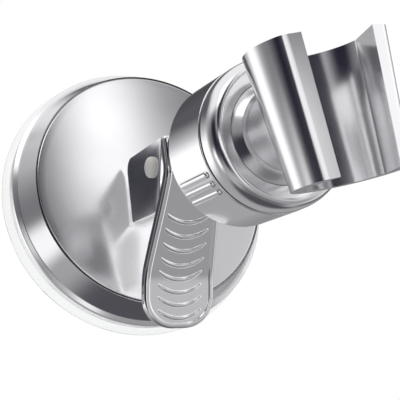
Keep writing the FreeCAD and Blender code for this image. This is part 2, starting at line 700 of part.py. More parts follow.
def make_lever_blank():
    body = new_body("lever_blank", BASE)
    run_out = 3 * S("lever_edge_round")
    thick = S("lever_thick")
    add_s_plate(body, "plate", lever_line(None, run_out), lever_line(thick, run_out),
                (S("lever_upper_bend"), S("lever_upper_bend") - thick),
                (S("lever_lower_bend") - thick, S("lever_lower_bend")))
    half_top, half_paddle = S("lever_half_top"), S("lever_half_paddle")
    tip = lever_line()[3][0]
    wide, tall = 3 * half_paddle, S("lever_front")
    outline = empty_sketch(body, "lever_outline", "XY")
    add_outline(outline, *plan_of_lever(0, S("lever_top")))
    add_outline(outline, [(wide, tall), (-wide, tall), (-wide, tip - tall), (wide, tip - tall)])
    pad(body, "outline_cut", outline, 3 * S("lever_front"), both_ways=True, cut=True)
    round_edges(body, "flare_start", S("lever_flare_round"), upright_edge(half_top, -S("lever_flare_start")))
    round_edges(body, "flare_end", S("lever_flare_round"), upright_edge(half_paddle, -S("lever_flare_end")))
    round_edges(body, "front_rim", S("lever_edge_round"), rim_of_plate(1))
    round_edges(body, "back_rim", S("lever_edge_round"), rim_of_plate(-1, -V["lever_flare_start"]))
    low_out = cheek_edge + S("cheek_bottom_depth")
    low_up = -S("cheek_bottom") - S("cheek_bottom_drop")
    radius = S("cam_radius")
    cam_end = crown + S("cam_clear") + radius
    for tag, start in (("left", -S("lever_half_top")), ("right", cheek_inner)):
        profile = closed_sketch(body, "cheek_profile_" + tag, "YZ", [
            (S("lever_top"), plate_middle),
            (S("cheek_top_corner"), cheek_edge),
            (-S("cheek_bottom"), cheek_edge),
            (low_up, low_out),
            (low_up, plate_middle),
        ], lift=start)
        pad(body, "cheek_" + tag, profile, S("cheek_thick"))
    round_edges(body, "cheek_corners", S("cheek_round"), cheek_corner(S("cheek_top_corner")))
    round_edges(body, "cheek_low_corners", S("cheek_round_small"), cheek_corner(-S("cheek_bottom")))
    for tag, start in (("left", -cheek_inner), ("right", cam_inner)):
        cam = closed_sketch(body, "cam_profile_" + tag, "YZ", [
            (stem_up + radius, plate_middle),
            (stem_up + radius, cam_end),
            (stem_up - radius, cam_end),
            (stem_up - radius, plate_middle),
        ], {1: (-radius, False)}, lift=start)
        pad(body, "cam_" + tag, cam, S("cam_thick"))
    hole = round_sketch(body, "cheek_holes", "YZ", (stem_up, S("pin_height")), S("pin_radius") + run)
    pad(body, "cheek_bores", hole, 2 * half_top + 2 * over, both_ways=True, cut=True)
    for tag, side in (("left", -1), ("right", 1)):
        centre = (side * S("fork_screw_spacing") / 2, fork_up)
        shank = S("screw_radius") + fit
        bore = round_sketch(body, "screw_hole_" + tag, "XY", centre, shank, lever_back - over)
        pad(body, "screw_bore_" + tag, bore, thick + 2 * over, reverse=True, cut=True)
        sink = round_sketch(body, "screw_sink_" + tag, "XY", centre, S("screw_head_radius") + fit, lever_back)
        pad(body, "screw_seat_" + tag, sink, S("screw_head_thick") + run, reverse=True, cut=True)


def cheek_corner(up):
    """Test for the short edges across the cheeks at one of their wall-side corners."""
    def wanted(edge, shape):
        box = edge.BoundBox
        across = same(box.XLength, V["cheek_thick"], 1e-3)
        return across and same(box.YMin, up.number, 1e-3) and same(box.ZMin, cheek_edge.number, 1e-3)
    return wanted


def make_rib_bands():
    """Arc bands through the plate; only what stands in the thin skin on its front is kept."""
    body = new_body("rib_bands", BASE)
    inner = S("rib_radius") - S("rib_width") / 2
    outer = S("rib_radius") + S("rib_width") / 2
    half = S("rib_half_angle")
    for number in range(int(V["rib_count"])):
        centre = -S("rib_first") - number * S("rib_pitch") + S("rib_radius")
        sketch = empty_sketch(body, "band_outline_%d" % number, "XY", crown)
        add_outline(sketch, [
            (-outer * sin(half), centre - outer * cos(half)),
            (outer * sin(half), centre - outer * cos(half)),
            (inner * sin(half), centre - inner * cos(half)),
            (-inner * sin(half), centre - inner * cos(half)),
        ], {0: (outer, False), 2: (-inner, False)})
        pad(body, "band_%d" % number, sketch, S("lever_front") - crown + 2 * S("rib_height"))


def make_rib_skin():
    body = new_body("rib_skin", BASE)
    add_slab(body, "skin", S("field_depth") - S("rib_height"), S("lever_thick") / 2)


def add_slab(body, name, start, end):
    """An S-shaped slab between two depths under the plate's front."""
    upper, lower = S("lever_upper_bend"), S("lever_lower_bend") - S("lever_thick")
    add_s_plate(body, name, lever_line(start), lever_line(end),
                (upper - start, upper - end), (lower + start, lower + end))


def make_field():
    """What is taken off the plate's front inside its raised rim."""
    body = new_body("field_slab", BASE)
    add_slab(body, "field", -S("lever_edge_round"), S("field_depth"))
    plan = new_body("field_plan", BASE)
    inset = S("field_inset")
    outline = empty_sketch(plan, "field_outline", "XY", crown)
    add_outline(outline, *plan_of_lever(inset, -S("lever_flare_start") + inset))
    pad(plan, "field_prism", outline, S("lever_front"))
    hollow = doc.addObject("Part::Common", "field_hollow")
    hollow.Base = body
    hollow.Tool = plan
    return hollow


def make_lever():
    make_lever_blank()
    make_rib_bands()
    make_rib_skin()
    arcs = doc.addObject("Part::Common", "rib_arcs")
    arcs.Base = doc.getObject("rib_skin")
    arcs.Tool = doc.getObject("rib_bands")
    plate = doc.addObject("Part::Cut", "lever_with_field")
    plate.Base = doc.getObject("lever_blank")
    plate.Tool = make_field()
    lever = doc.addObject("Part::Fuse", "lever")
    lever.Label = "lever"
    lever.Base = plate
    lever.Tool = arcs
    doc.recompute()


# Tilt knuckle: fork on the lever, its screws, bolt, nut and washers

def make_arm_fork():
    body = new_body("arm_fork", BASE)
    half = S("fork_foot_height") / 2
    foot_top = S("lever_front") + S("fork_foot_thick")
    ear = S("fork_ear_radius")
    thick = S("fork_foot_thick")
    section = rectangle(fork_up, S("lever_front") + thick / 2, 2 * half, thick)
    foot = closed_sketch(body, "foot_outline", "YZ", section)
    pad(body, "fork_foot", foot, S("fork_width"), both_ways=True)
    ears = closed_sketch(body, "ear_outline", "YZ", [
        (fork_up + half, foot_top - over),
        (tilt_up + ear, tilt_out),
        (tilt_up - ear, tilt_out),
        (fork_up - half, foot_top - over),
    ], {1: (ear, False)})
    pad(body, "fork_ears", ears, S("fork_width"), both_ways=True)
    slot = closed_sketch(body, "slot_outline", "XY",
                         rectangle(0, tilt_up, S("fork_slot"), 4 * ear), lift=foot_top)
    pad(body, "fork_slot_cut", slot, 2 * tilt_out, reverse=True, cut=True)
    hole = round_sketch(body, "bolt_hole", "YZ", (tilt_up, tilt_out), S("bolt_radius") + fit)
    pad(body, "bolt_bore", hole, S("fork_width") + 2 * over, both_ways=True, cut=True)
    round_edges(body, "ear_edges", S("fork_edge"), ear_rim)
    for tag, side in (("left", -1), ("right", 1)):
        centre = (side * S("fork_screw_spacing") / 2, fork_up)
        shank = S("screw_radius") + fit
        bore = round_sketch(body, "foot_hole_" + tag, "XY", centre, shank, S("lever_front") - over)
        pad(body, "foot_bore_" + tag, bore, S("screw_bite") + over + 4 * run, reverse=True, cut=True)


def ear_rim(edge, shape):
    """Outer edges of the ears' rounded ends."""
    box = edge.BoundBox
    outside = same(abs(box.XMin), ear_outer.number, 1e-3) and same(box.XLength, 0, 1e-3)
    return outside and box.ZMax > tilt_out.number + V["fork_ear_radius"] - 1e-3


def make_fork_screw(tag, side):
    body = new_body("fork_screw_" + tag, BASE)
    centre = (side * S("fork_screw_spacing") / 2, fork_up)
    head = round_sketch(body, "head_outline", "XY", centre, S("screw_head_radius"), lever_back)
    pad(body, "head", head, S("screw_head_thick"))
    shank = round_sketch(body, "shank_outline", "XY", centre, S("screw_radius"), lever_back)
    pad(body, "shank", shank, S("lever_thick") + S("screw_bite"))


def make_tilt_bolt():
    body = new_body("tilt_bolt", BASE)
    place = (tilt_up, tilt_out)
    shank = round_sketch(body, "shank_outline", "YZ", place, S("bolt_radius"), -ear_outer)
    pad(body, "shank", shank, S("fork_width") + S("nut_thick"))
    far = -ear_outer - S("bolt_head_thick")
    head = round_sketch(body, "head_outline", "YZ", place, S("bolt_head_radius"), far)
    pad(body, "head", head, S("bolt_head_thick"))
    slot = closed_sketch(body, "slot_outline", "YZ",
                         rectangle(tilt_up, tilt_out, 3 * S("bolt_head_radius"), S("bolt_slot")), lift=far)
    pad(body, "driver_slot", slot, S("bolt_head_thick") / 2, reverse=True, cut=True)


def make_tilt_nut():
    body = new_body("tilt_nut", BASE)
    flats = S("nut_flats") / 2
    reach = S("nut_flats") / root(as_size(3))
    corners = []
    for number in range(6):
        angle = as_size(60 * number)
        corners.append((tilt_up + reach * cos(angle), tilt_out + reach * sin(angle)))
    outline = closed_sketch(body, "nut_outline", "YZ", corners, lift=ear_outer)
    pad(body, "hexagon", outline, S("nut_thick"))
    hole = round_sketch(body, "nut_hole", "YZ", (tilt_up, tilt_out), S("bolt_radius") + fit, ear_outer - over)
    pad(body, "nut_bore", hole, S("nut_thick") + 2 * over, reverse=True, cut=True)


def make_friction_washer(tag, start):
    body = new_body("friction_washer_" + tag, ARM)
    disc = round_sketch(body, "disc_outline", "YZ", (0, S("tilt_at")), S("washer_radius"), start)
    pad(body, "disc", disc, S("washer_thick"))
    hole = round_sketch(body, "disc_hole", "YZ", (0, S("tilt_at")), S("bolt_radius") + run, start - over)
    pad(body, "disc_bore", hole, S("washer_thick") + 2 * over, reverse=True, cut=True)


# Barrel: core with its tongue, sleeve with grip bars, collar with its bearing

def make_arm_core():
    body = new_body("arm_core", ARM)
    section = closed_sketch(body, "core_section", "XZ", [
        (0, core_back),
        (core_radius - S("barrel_edge"), core_back),
        (core_radius, core_back + S("barrel_edge")),
        (core_radius, core_front),
        (core_bore, core_front),
        (core_bore, core_back + S("core_floor")),
        (0, core_back + S("core_floor")),
    ])
    revolve(body, "core_turned", section)
    tongue, foot = S("tongue_radius"), S("tongue_foot_height") / 2
    outline = closed_sketch(body, "tongue_outline", "YZ", [
        (-tongue, S("tilt_at")),
        (tongue, S("tilt_at")),
        (tongue, core_back - S("tongue_foot_length")),
        (foot, core_back + over),
        (-foot, core_back + over),
        (-tongue, core_back - S("tongue_foot_length")),
    ], {0: (tongue, False)})
    pad(body, "tongue", outline, S("tongue_thick"), both_ways=True)
    hole = round_sketch(body, "tilt_hole", "YZ", (0, S("tilt_at")), S("bolt_radius") + run)
    pad(body, "tilt_bore", hole, S("tongue_thick") + 2 * over, both_ways=True, cut=True)


def make_barrel_sleeve():
    body = new_body("barrel_sleeve", ARM)
    edge, radius = S("barrel_edge"), S("barrel_radius")
    neck = collar_neck + S("lip_clear")
    section = closed_sketch(body, "sleeve_section", "XZ", [
        (sleeve_bore, S("barrel_back")),
        (radius - edge, S("barrel_back")),
        (radius, S("barrel_back") + edge),
        (radius, sleeve_front - edge),
        (radius - edge, sleeve_front),
        (neck, sleeve_front),
        (neck, lip_back),
        (sleeve_bore, lip_back),
    ], {1: (edge, False), 3: (edge, False)})
    revolve(body, "sleeve_turned", section)
    root_radius, top_radius = radius - S("bar_height") / 2, radius + S("bar_height")
    for number, shift in enumerate((-1, 0, 1)):
        angle = S("bar_angle") + shift * S("bar_step")
        corners = []
        for reach, side in ((root_radius, -1), (top_radius, -0.5), (top_radius, 0.5), (root_radius, 1)):
            half = side * S("bar_width") / 2
            corners.append((reach * cos(angle) - half * sin(angle), reach * sin(angle) + half * cos(angle)))
        start = S("barrel_back") + S("bar_start")
        outline = closed_sketch(body, "bar_outline_%d" % number, "XY", corners, lift=start)
        bar = pad(body, "bar_%d" % number, outline, S("bar_length"))
        polar(body, "bars_%d" % number, bar, "bar_groups")


def make_front_collar():
    body = new_body("front_collar", ARM)
    radius, rim = collar_radius, collar_rim
    inner = core_bore
    section = closed_sketch(body, "collar_section", "XZ", [
        (inner, flange_back),
        (core_radius, flange_back),
        (core_radius, flange_front),
        (collar_neck, flange_front),
        (collar_neck, collar_back),
        (radius - S("collar_bead"), collar_back),
        (radius, collar_back + S("collar_bead")),
        (radius, collar_back + S("collar_step")),
        (rim, collar_front),
        (rim - S("collar_bead"), collar_front),
        (bearing_radius, dish_floor),
        (bearing_radius, bearing_back),
        (inner, bearing_back),
    ], {7: (S("collar_shoulder"), False)})
    revolve(body, "collar_turned", section)


def make_spring_washer():
    body = new_body("spring_washer", ARM)
    low = washer_front + run
    high = bearing_back - run - S("spring_washer_thick")
    outer = core_bore - S("spring_side_gap")
    inner = outer - S("spring_washer_width")
    section = closed_sketch(body, "washer_section", "XZ", [
        (inner, high),
        (outer, low),
        (outer, low + S("spring_washer_thick")),
        (inner, high + S("spring_washer_thick")),
    ])
    revolve(body, "washer_turned", section)


# Clip: tapered channel, neck and foot in one moulding, with its ring, washer and screw

CLIP = ARM * Placement(Vector(0, 0, 0), Rotation(Vector(0, 0, 1), V["clip_turn"]))


def channel_sizes(tag):
    """Channel radius, wall, centre, half mouth, nose width and crease of one end of the clip."""
    radius = S("bore_%s_radius" % tag)
    wall = S("clip_wall_" + tag)
    centre = S("bore_at_" + tag)
    half = S("mouth_" + tag) / 2
    nose = S("nose_width_" + tag)
    crease = S("crease_back_" + tag)
    return radius, wall, centre, half, nose, crease


def clip_outer(body, tag, lift):
    radius, wall, centre, half, nose, crease = channel_sizes(tag)
    outer = radius + wall
    side = half + nose
    corner = centre + root(outer * outer - side * side)
    lead = corner + S("nose_lead")
    return closed_sketch(body, "outer_" + tag, "XZ", [
        (-side, corner),
        (side, corner),
        (half, lead),
        (-half, lead),
    ], {0: (outer, True)}, lift)


def clip_inner(body, tag, lift):
    radius, wall, centre, half, nose, crease = channel_sizes(tag)
    outer = radius + wall
    side = half + nose
    lead = centre + root(outer * outer - side * side) + S("nose_lead")
    crease_side = root(radius * radius - crease * crease)
    ahead = S("mouth_run")
    spread = half - (crease_side - half) * ahead / (lead - centre + crease)
    return closed_sketch(body, "inner_" + tag, "XZ", [
        (-crease_side, centre - crease),
        (crease_side, centre - crease),
        (spread, lead + ahead),
        (-spread, lead + ahead),
    ], {0: (radius, False)}, lift)


def loft(body, name, sections, cut=False):
    feature = body.newObject("PartDesign::SubtractiveLoft" if cut else "PartDesign::AdditiveLoft", name)
    feature.Profile = sections[0]
    feature.Sections = sections[1:]
    feature.Ruled = True
    doc.recompute()
    return feature


def make_clip():
    body = new_body("clip", CLIP)
    top, bottom = -S("clip_top"), S("clip_bottom")
    loft(body, "cradle", [clip_outer(body, "top", top), clip_outer(body, "bottom", bottom)])
    neck_foot = dish_floor + S("hub_rise")
    middle = (S("bore_at_top") + S("bore_at_bottom")) / 2
    neck = round_sketch(body, "neck_outline", "XY", (0, 0), neck_radius, neck_foot)
    pad(body, "neck", neck, middle - neck_foot)
    loft(body, "channel", [clip_inner(body, "top", top), clip_inner(body, "bottom", bottom)], cut=True)
    radius = hub_radius
    groove_floor = radius - S("hub_ring_thick") - 3 * run
    groove = bearing_back + S("hub_ring_thick")
    half = S("hub_ring_thick") / 2 + 3 * run
    foot = closed_sketch(body, "foot_section", "XZ", [
        (0, hub_back),
        (radius, hub_back),
        (radius, groove - half),
        (groove_floor, groove - half),
        (groove_floor, groove + half),
        (radius, groove + half),
        (radius, dish_floor),
        (neck_radius, neck_foot),
        (neck_radius, neck_foot + over),
        (0, neck_foot + over),
    ])
    revolve(body, "hub", foot)
    hole = round_sketch(body, "screw_hole", "XY", (0, 0), S("hub_screw_radius") + fit, hub_back - over)
    pad(body, "screw_bore", hole, S("hub_screw_length") + 2 * over, reverse=True, cut=True)


def make_hub_ring():
    body = new_body("hub_ring", CLIP)
    tube = S("hub_ring_thick") / 2
    place = (hub_radius - tube, bearing_back + S("hub_ring_thick"))
    revolve(body, "ring_turned", round_sketch(body, "ring_section", "XZ", place, tube))


def make_hub_washer():
    body = new_body("hub_washer", CLIP)
    disc = round_sketch(body, "disc_outline", "XY", (0, 0), core_bore - S("hub_washer_gap"), washer_back)
    pad(body, "disc", disc, S("hub_washer_thick"))
    hole = round_sketch(body, "disc_hole", "XY", (0, 0), S("hub_screw_radius") + fit, washer_back - over)
    pad(body, "disc_bore", hole, S("hub_washer_thick") + 2 * over, reverse=True, cut=True)


def make_hub_screw():
    body = new_body("hub_screw", CLIP)
    head_back = washer_back - S("hub_screw_head_thick")
    head = round_sketch(body, "head_outline", "XY", (0, 0), S("hub_screw_head"), head_back)
    pad(body, "head", head, S("hub_screw_head_thick"))
    shank = round_sketch(body, "shank_outline", "XY", (0, 0), S("hub_screw_radius"), washer_back)
    pad(body, "shank", shank, S("hub_washer_thick") + S("hub_screw_length"))
    round_edges(body, "head_edge", S("barrel_edge"),
                lambda edge, shape: edge.Closed and same(edge.BoundBox.ZMax, head_back.number))
    cross = closed_sketch(body, "driver_outline", "XY",
                          rectangle(0, 0, S("hub_screw_head"), S("bolt_slot")), lift=head_back)
    pad(body, "driver_slot_1", cross, S("hub_screw_head_thick") / 2, reverse=True, cut=True)
    other = closed_sketch(body, "driver_outline_2", "XY",
                          rectangle(0, 0, S("bolt_slot"), S("hub_screw_head")), lift=head_back)
    pad(body, "driver_slot_2", other, S("hub_screw_head_thick") / 2, reverse=True, cut=True)


make_suction_cup()
make_base_cover()
make_cup_stem()
make_pivot_pin()
make_lever()
make_arm_fork()
make_fork_screw("left", -1)
make_fork_screw("right", 1)
make_tilt_bolt()
make_tilt_nut()
make_friction_washer("left", -tongue_side - run - S("washer_thick"))
make_friction_washer("right", tongue_side + run)
make_arm_core()
make_barrel_sleeve()
make_front_collar()
make_spring_washer()
make_clip()
make_hub_ring()
make_hub_washer()
make_hub_screw()

NODES = [
    "suction_cup", "base_cover", "cup_stem", "pivot_pin", "lever", "arm_fork", "fork_screw_left",
    "fork_screw_right", "tilt_bolt", "tilt_nut", "friction_washer_left", "friction_washer_right",
    "arm_core", "barrel_sleeve", "front_collar", "spring_washer", "clip", "hub_ring", "hub_washer",
    "hub_screw",
]

doc.recompute()
for item in doc.Objects:
    if "Invalid" in item.State or "Error" in item.State:
        raise RuntimeError("%s did not build" % item.Name)
os.makedirs("parts", exist_ok=True)
for name in NODES:
    shape = doc.getObjectsByLabel(name)[0].Shape
    if shape.isNull() or not shape.isValid() or len(shape.Solids) != 1:
        raise RuntimeError("%s is not one valid solid" % name)
    print("%-22s %9.1f mm3" % (name, shape.Volume))
    shape.exportStep("parts/%s.step" % name)
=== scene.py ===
import json
import math

import bpy
from bpy.props import FloatProperty, FloatVectorProperty, IntProperty, PointerProperty
from mathutils import Matrix, Vector


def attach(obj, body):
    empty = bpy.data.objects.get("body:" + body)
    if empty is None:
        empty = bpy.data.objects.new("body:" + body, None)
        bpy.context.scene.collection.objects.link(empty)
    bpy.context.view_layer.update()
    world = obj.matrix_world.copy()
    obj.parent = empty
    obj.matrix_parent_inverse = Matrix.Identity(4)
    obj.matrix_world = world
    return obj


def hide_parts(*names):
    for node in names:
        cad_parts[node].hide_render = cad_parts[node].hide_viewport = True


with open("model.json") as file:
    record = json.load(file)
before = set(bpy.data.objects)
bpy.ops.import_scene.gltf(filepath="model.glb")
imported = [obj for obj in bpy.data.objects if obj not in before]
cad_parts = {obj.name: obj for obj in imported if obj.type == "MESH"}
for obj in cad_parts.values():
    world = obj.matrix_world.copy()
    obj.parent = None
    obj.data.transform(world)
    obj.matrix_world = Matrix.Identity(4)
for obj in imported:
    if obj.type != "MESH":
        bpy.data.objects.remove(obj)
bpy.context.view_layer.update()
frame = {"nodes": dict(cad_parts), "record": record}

bl_info = {
    "name": "Hand shower holder",
    "version": (1, 0, 0),
    "blender": (4, 5, 0),
    "location": "3D View > Sidebar > Holder",
    "description": "Builds a plated hand shower holder with a suction cup, a lever and a clip",
    "category": "Object",
}

MM = 0.001

# Places that come from the frame. Base pieces are modelled with x to the right, y up and z out of
# the wall; barrel pieces with z along the barrel, measured from where its axis leaves the wall's normal.

JOINTS = {joint["name"]: joint for joint in frame["record"]["behaviour"]["joints"]}
ALONG = Vector(JOINTS["clip_turn"]["axis"]).normalized()
PITCH = math.atan2(-ALONG.z, -ALONG.y)
BEARING = Vector(JOINTS["clip_turn"]["pos_m"])
AXIS_START = BEARING - ALONG * (103 * MM)
PIN_OUT = -JOINTS["lever_swing"]["pos_m"][1]
PIN_UP = JOINTS["lever_swing"]["pos_m"][2]
CLIP_LEAN = math.radians(10.2)

BASE = Matrix(((1, 0, 0, 0), (0, 0, -1, 0), (0, 1, 0, 0), (0, 0, 0, 1)))
BARREL = Matrix((
    (1, 0, 0, AXIS_START.x),
    (0, -math.sin(PITCH), ALONG.y, AXIS_START.y),
    (0, math.cos(PITCH), ALONG.z, AXIS_START.z),
    (0, 0, 0, 1),
))
CLIP = BARREL @ Matrix.Rotation(CLIP_LEAN, 4, "Z")


def length(name, size, words):
    return FloatProperty(name=name, description=words, default=size * MM, unit="LENGTH", subtype="DISTANCE", min=0)


def colour(name, rgb, words):
    return FloatVectorProperty(name=name, description=words, default=rgb, subtype="COLOR", min=0, max=1)


class HolderBaseSizes(bpy.types.PropertyGroup):
    """Sizes of the cup, its cover and the pin"""
    cup_radius: length("Cup radius", 44.8, "Outer edge of the clear cup")
    cup_rim: length("Cup rim", 42.9, "Upright wall of the cup's rim")
    lip_radius: length("Lip radius", 43.4, "Outer edge of the cover's lip")
    lip_height: length("Lip height", 7.0, "Wall to the lower edge of the lip")
    bevel_foot: length("Bevel foot", 42.0, "Radius at the foot of the wide bevel")
    bevel_top: length("Bevel top", 38.7, "Radius at the top of the wide bevel")
    bevel_rise: length("Bevel rise", 8.6, "Height of the wide bevel")
    face_crown: length("Face crown", 1.2, "Rise of the face to its centre")
    groove: length("Groove", 0.6, "Width of the fine groove round the face")
    cover_wall: length("Cover wall", 2.3, "Thickness of the cover")
    guide_wall: length("Guide wall", 2.6, "Wall of the guide round the stem")
    guide_depth: length("Guide depth", 5.0, "Guide and ribs under the face")
    rib_thick: length("Rib", 1.6, "Thickness of a rib under the cover")
    rib_count: IntProperty(name="Ribs", description="Ribs under the cover", default=8, min=3, max=16)
    stem_width: length("Stem width", 9.2, "Stem, left to right")
    stem_height: length("Stem height", 10.4, "Stem, up and down")
    pin_radius: length("Pin radius", 3.2, "Radius of the cross pin")
    pin_proud: length("Pin end", 1.9, "Pin past the lever's side")


class HolderLeverSizes(bpy.types.PropertyGroup):
    """Sizes of the lever"""
    front: length("Front", 51.0, "Wall to the front of the upper plate")
    top: length("Top", 4.6, "Cup's centre up to the top edge")
    thick: length("Thickness", 3.4, "Thickness of the plate")
    half_top: length("Half width", 9.2, "Half the width at the cheeks")
    half_paddle: length("Half paddle", 11.5, "Half the width of the paddle")
    upper: length("Upper plate", 11.1, "Length of the upper plate to its corner")
    slope: length("Sloping plate", 33.0, "Length of the sloping plate, corner to corner")
    tip: length("Tip plate", 16.2, "Length of the tip plate from its corner")
    tip_corner: length("Tip corner", 9.5, "Corner radius of the tip")
    rim_width: length("Rim", 1.5, "Width of the raised rim")
    rim_step: length("Rim step", 0.35, "Field below the rim")
    arc_radius: length("Arc radius", 10.6, "Radius of a raised arc")
    arc_bead: length("Arc bead", 0.85, "Thickness of a raised arc")
    arc_pitch: length("Arc pitch", 3.7, "Arc to arc, as seen from the front")
    arc_count: IntProperty(name="Arcs", description="How many raised arcs", default=8, min=1, max=12)


class HolderBarrelSizes(bpy.types.PropertyGroup):
    """Sizes of the barrel and its collar"""
    back: length("Back", 79.8, "Back edge of the sleeve along the axis")
    sleeve: length("Sleeve", 19.4, "Length of the sleeve")
    radius: length("Radius", 20.3, "Outside of the sleeve")
    wall: length("Wall", 1.8, "Wall of the sleeve")
    seam: length("Seam", 0.5, "Gap between sleeve and collar")
    collar: length("Collar", 7.1, "Length of the collar")
    collar_rim: length("Collar rim", 17.7, "Front rim of the collar")
    collar_dish: length("Collar dish", 2.6, "Depth of the dished front")
    hub: length("Hub", 13.65, "Radius of the clip's foot")
    neck: length("Neck", 11.4, "Radius of the clip's neck")
    bar_width: length("Bar width", 1.9, "Width of a grip bar")
    bar_length: length("Bar length", 16.2, "Length of a grip bar")


class HolderClipSizes(bpy.types.PropertyGroup):
    """Sizes of the clip"""
    top: length("Top", 16.0, "Top of the clip above the axis")
    bottom: length("Bottom", 17.6, "Bottom of the clip under the axis")
    bore_top: length("Bore at the top", 13.6, "Channel radius at the top")
    bore_bottom: length("Bore at the bottom", 11.0, "Channel radius at the bottom")
    wall_top: length("Wall at the top", 3.7, "Wall at the top")
    wall_bottom: length("Wall at the bottom", 3.4, "Wall at the bottom")
    centre_top: length("Centre at the top", 128.5, "Channel's centre along the axis")
    centre_bottom: length("Centre at the bottom", 130.2, "Channel's centre along the axis")
    mouth_top: length("Mouth at the top", 19.6, "Between the noses")
    mouth_bottom: length("Mouth at the bottom", 16.6, "Between the noses")


class HolderFinish(bpy.types.PropertyGroup):
    """Colours of the finishes"""
    plating: colour("Plating", (0.90, 0.90, 0.91), "Mirror plating")
    cup: colour("Cup", (0.95, 0.955, 0.96), "Clear soft cup")
    pin: colour("Pin", (0.84, 0.83, 0.78), "Pale nylon of the pin")
    steel: colour("Steel", (0.52, 0.52, 0.53), "Plain fasteners")
    dark: colour("Dark plastic", (0.03, 0.03, 0.032), "Washers and soft ring")
    floor: colour("Floor", (0.82, 0.82, 0.83), "Pale floor")


# Ways of working that the operators share

def new_vertex(name, place):
    """Starts a mesh as one vertex and leaves it in edit mode."""
    if bpy.context.mode != "OBJECT":
        bpy.ops.object.mode_set(mode="OBJECT")
    bpy.ops.object.select_all(action="DESELECT")
    bpy.ops.mesh.primitive_plane_add(size=1 * MM, location=(0, 0, 0))
    piece = bpy.context.object
    piece.name = name
    piece.data.name = name
    bpy.ops.object.mode_set(mode="EDIT")
    bpy.ops.mesh.select_mode(type="VERT")
    bpy.ops.mesh.select_all(action="SELECT")
    bpy.ops.mesh.merge(type="CENTER")
    bpy.ops.mesh.select_all(action="SELECT")
    bpy.ops.transform.translate(value=place)
    return piece


def draw_line(name, points, closed=False):
    """Draws a line of vertices by extruding from point to point. Points are in metres."""
    points = [Vector(point) for point in points]
    piece = new_vertex(name, points[0])
    for before, after in zip(points, points[1:]):
        bpy.ops.mesh.extrude_vertices_move(TRANSFORM_OT_translate={"value": after - before})
    if closed:
        bpy.ops.mesh.select_all(action="SELECT")
        bpy.ops.mesh.edge_face_add()
    return piece


def arc(centre, radius, start, end, count, flip=1):
    """Points of an arc in the plane of a profile, angles in degrees."""
    points = []
    for step in range(count + 1):
        angle = math.radians(start + (end - start) * step / count)
        points.append((centre[0] + radius * math.cos(angle), centre[1] + flip * radius * math.sin(angle)))
    return points


def leave_edit():
    bpy.ops.mesh.select_all(action="SELECT")
    bpy.ops.mesh.remove_doubles(threshold=0.5e-5)
    bpy.ops.mesh.normals_make_consistent(inside=False)
    bpy.ops.object.mode_set(mode="OBJECT")


def apply_modifier(piece, kind, **values):
    modifier = piece.modifiers.new(kind.title(), kind)
    for key, value in values.items():
        setattr(modifier, key, value)
    bpy.context.view_layer.objects.active = piece
    bpy.ops.object.modifier_apply(modifier=modifier.name)


def soften(piece, width, segments=3, angle=28):
    """Rounds the sharp edges of a piece and shades it smooth, flat faces kept flat."""
    bpy.ops.object.select_all(action="DESELECT")
    piece.select_set(True)
    bpy.context.view_layer.objects.active = piece
    if width:
        apply_modifier(piece, "BEVEL", width=width, segments=segments, limit_method="ANGLE",
                       angle_limit=math.radians(angle), use_clamp_overlap=True)
    bpy.ops.object.shade_smooth()
    apply_modifier(piece, "WEIGHTED_NORMAL", mode="FACE_AREA_WITH_ANGLE", weight=50, keep_sharp=False)


def seat(piece, place):
    """Moves a finished mesh from its drawing frame to its real place and leaves the object at the origin."""
    bpy.ops.object.select_all(action="DESELECT")
    piece.select_set(True)
    bpy.context.view_layer.objects.active = piece
    piece.matrix_world = place
    bpy.ops.object.transform_apply(location=True, rotation=True, scale=True)


def turned(name, profile, place, steps=160, rounding=0.3 * MM):
    """A turned piece: a profile of (radius, height) spun round its own z axis and seated."""
    piece = draw_line(name, [(radius, 0, height) for radius, height in profile])
    bpy.ops.mesh.select_all(action="SELECT")
    bpy.ops.mesh.spin(steps=steps, angle=math.tau, center=(0, 0, 0), axis=(0, 0, 1))
    leave_edit()
    soften(piece, rounding)
    seat(piece, place)
    return piece


def join(pieces, name):
    """Joins pieces into the first of them."""
    bpy.ops.object.select_all(action="DESELECT")
    for piece in pieces:
        piece.select_set(True)
    bpy.context.view_layer.objects.active = pieces[0]
    bpy.ops.object.join()
    pieces[0].name = name
    return pieces[0]


def copy_of(piece, name):
    """A copy with a mesh of its own."""
    bpy.ops.object.select_all(action="DESELECT")
    piece.select_set(True)
    bpy.context.view_layer.objects.active = piece
    bpy.ops.object.duplicate(linked=False)
    twin = bpy.context.object
    twin.name = name
    return twin


def finish_piece(piece, body, material, slot, *nodes):
    """Gives a piece its finish, its body and the CAD nodes it stands for."""
    piece.data.materials.clear()
    piece.data.materials.append(material)
    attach(piece, body)
    if nodes:
        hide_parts(*nodes)


def cut_with(piece, cutter, kind="DIFFERENCE"):
    apply_modifier(piece, "BOOLEAN", operation=kind, solver="EXACT", object=cutter)
    bpy.data.objects.remove(cutter, do_unlink=True)


# Finishes

def node_group(name, inputs, outputs):
    group = bpy.data.node_groups.new(name, "ShaderNodeTree")
    for label, kind, value in inputs:
        socket = group.interface.new_socket(name=label, in_out="INPUT", socket_type=kind)
        socket.default_value = value
    for label, kind in outputs:
        group.interface.new_socket(name=label, in_out="OUTPUT", socket_type=kind)
    return group, group.nodes.new("NodeGroupInput"), group.nodes.new("NodeGroupOutput")


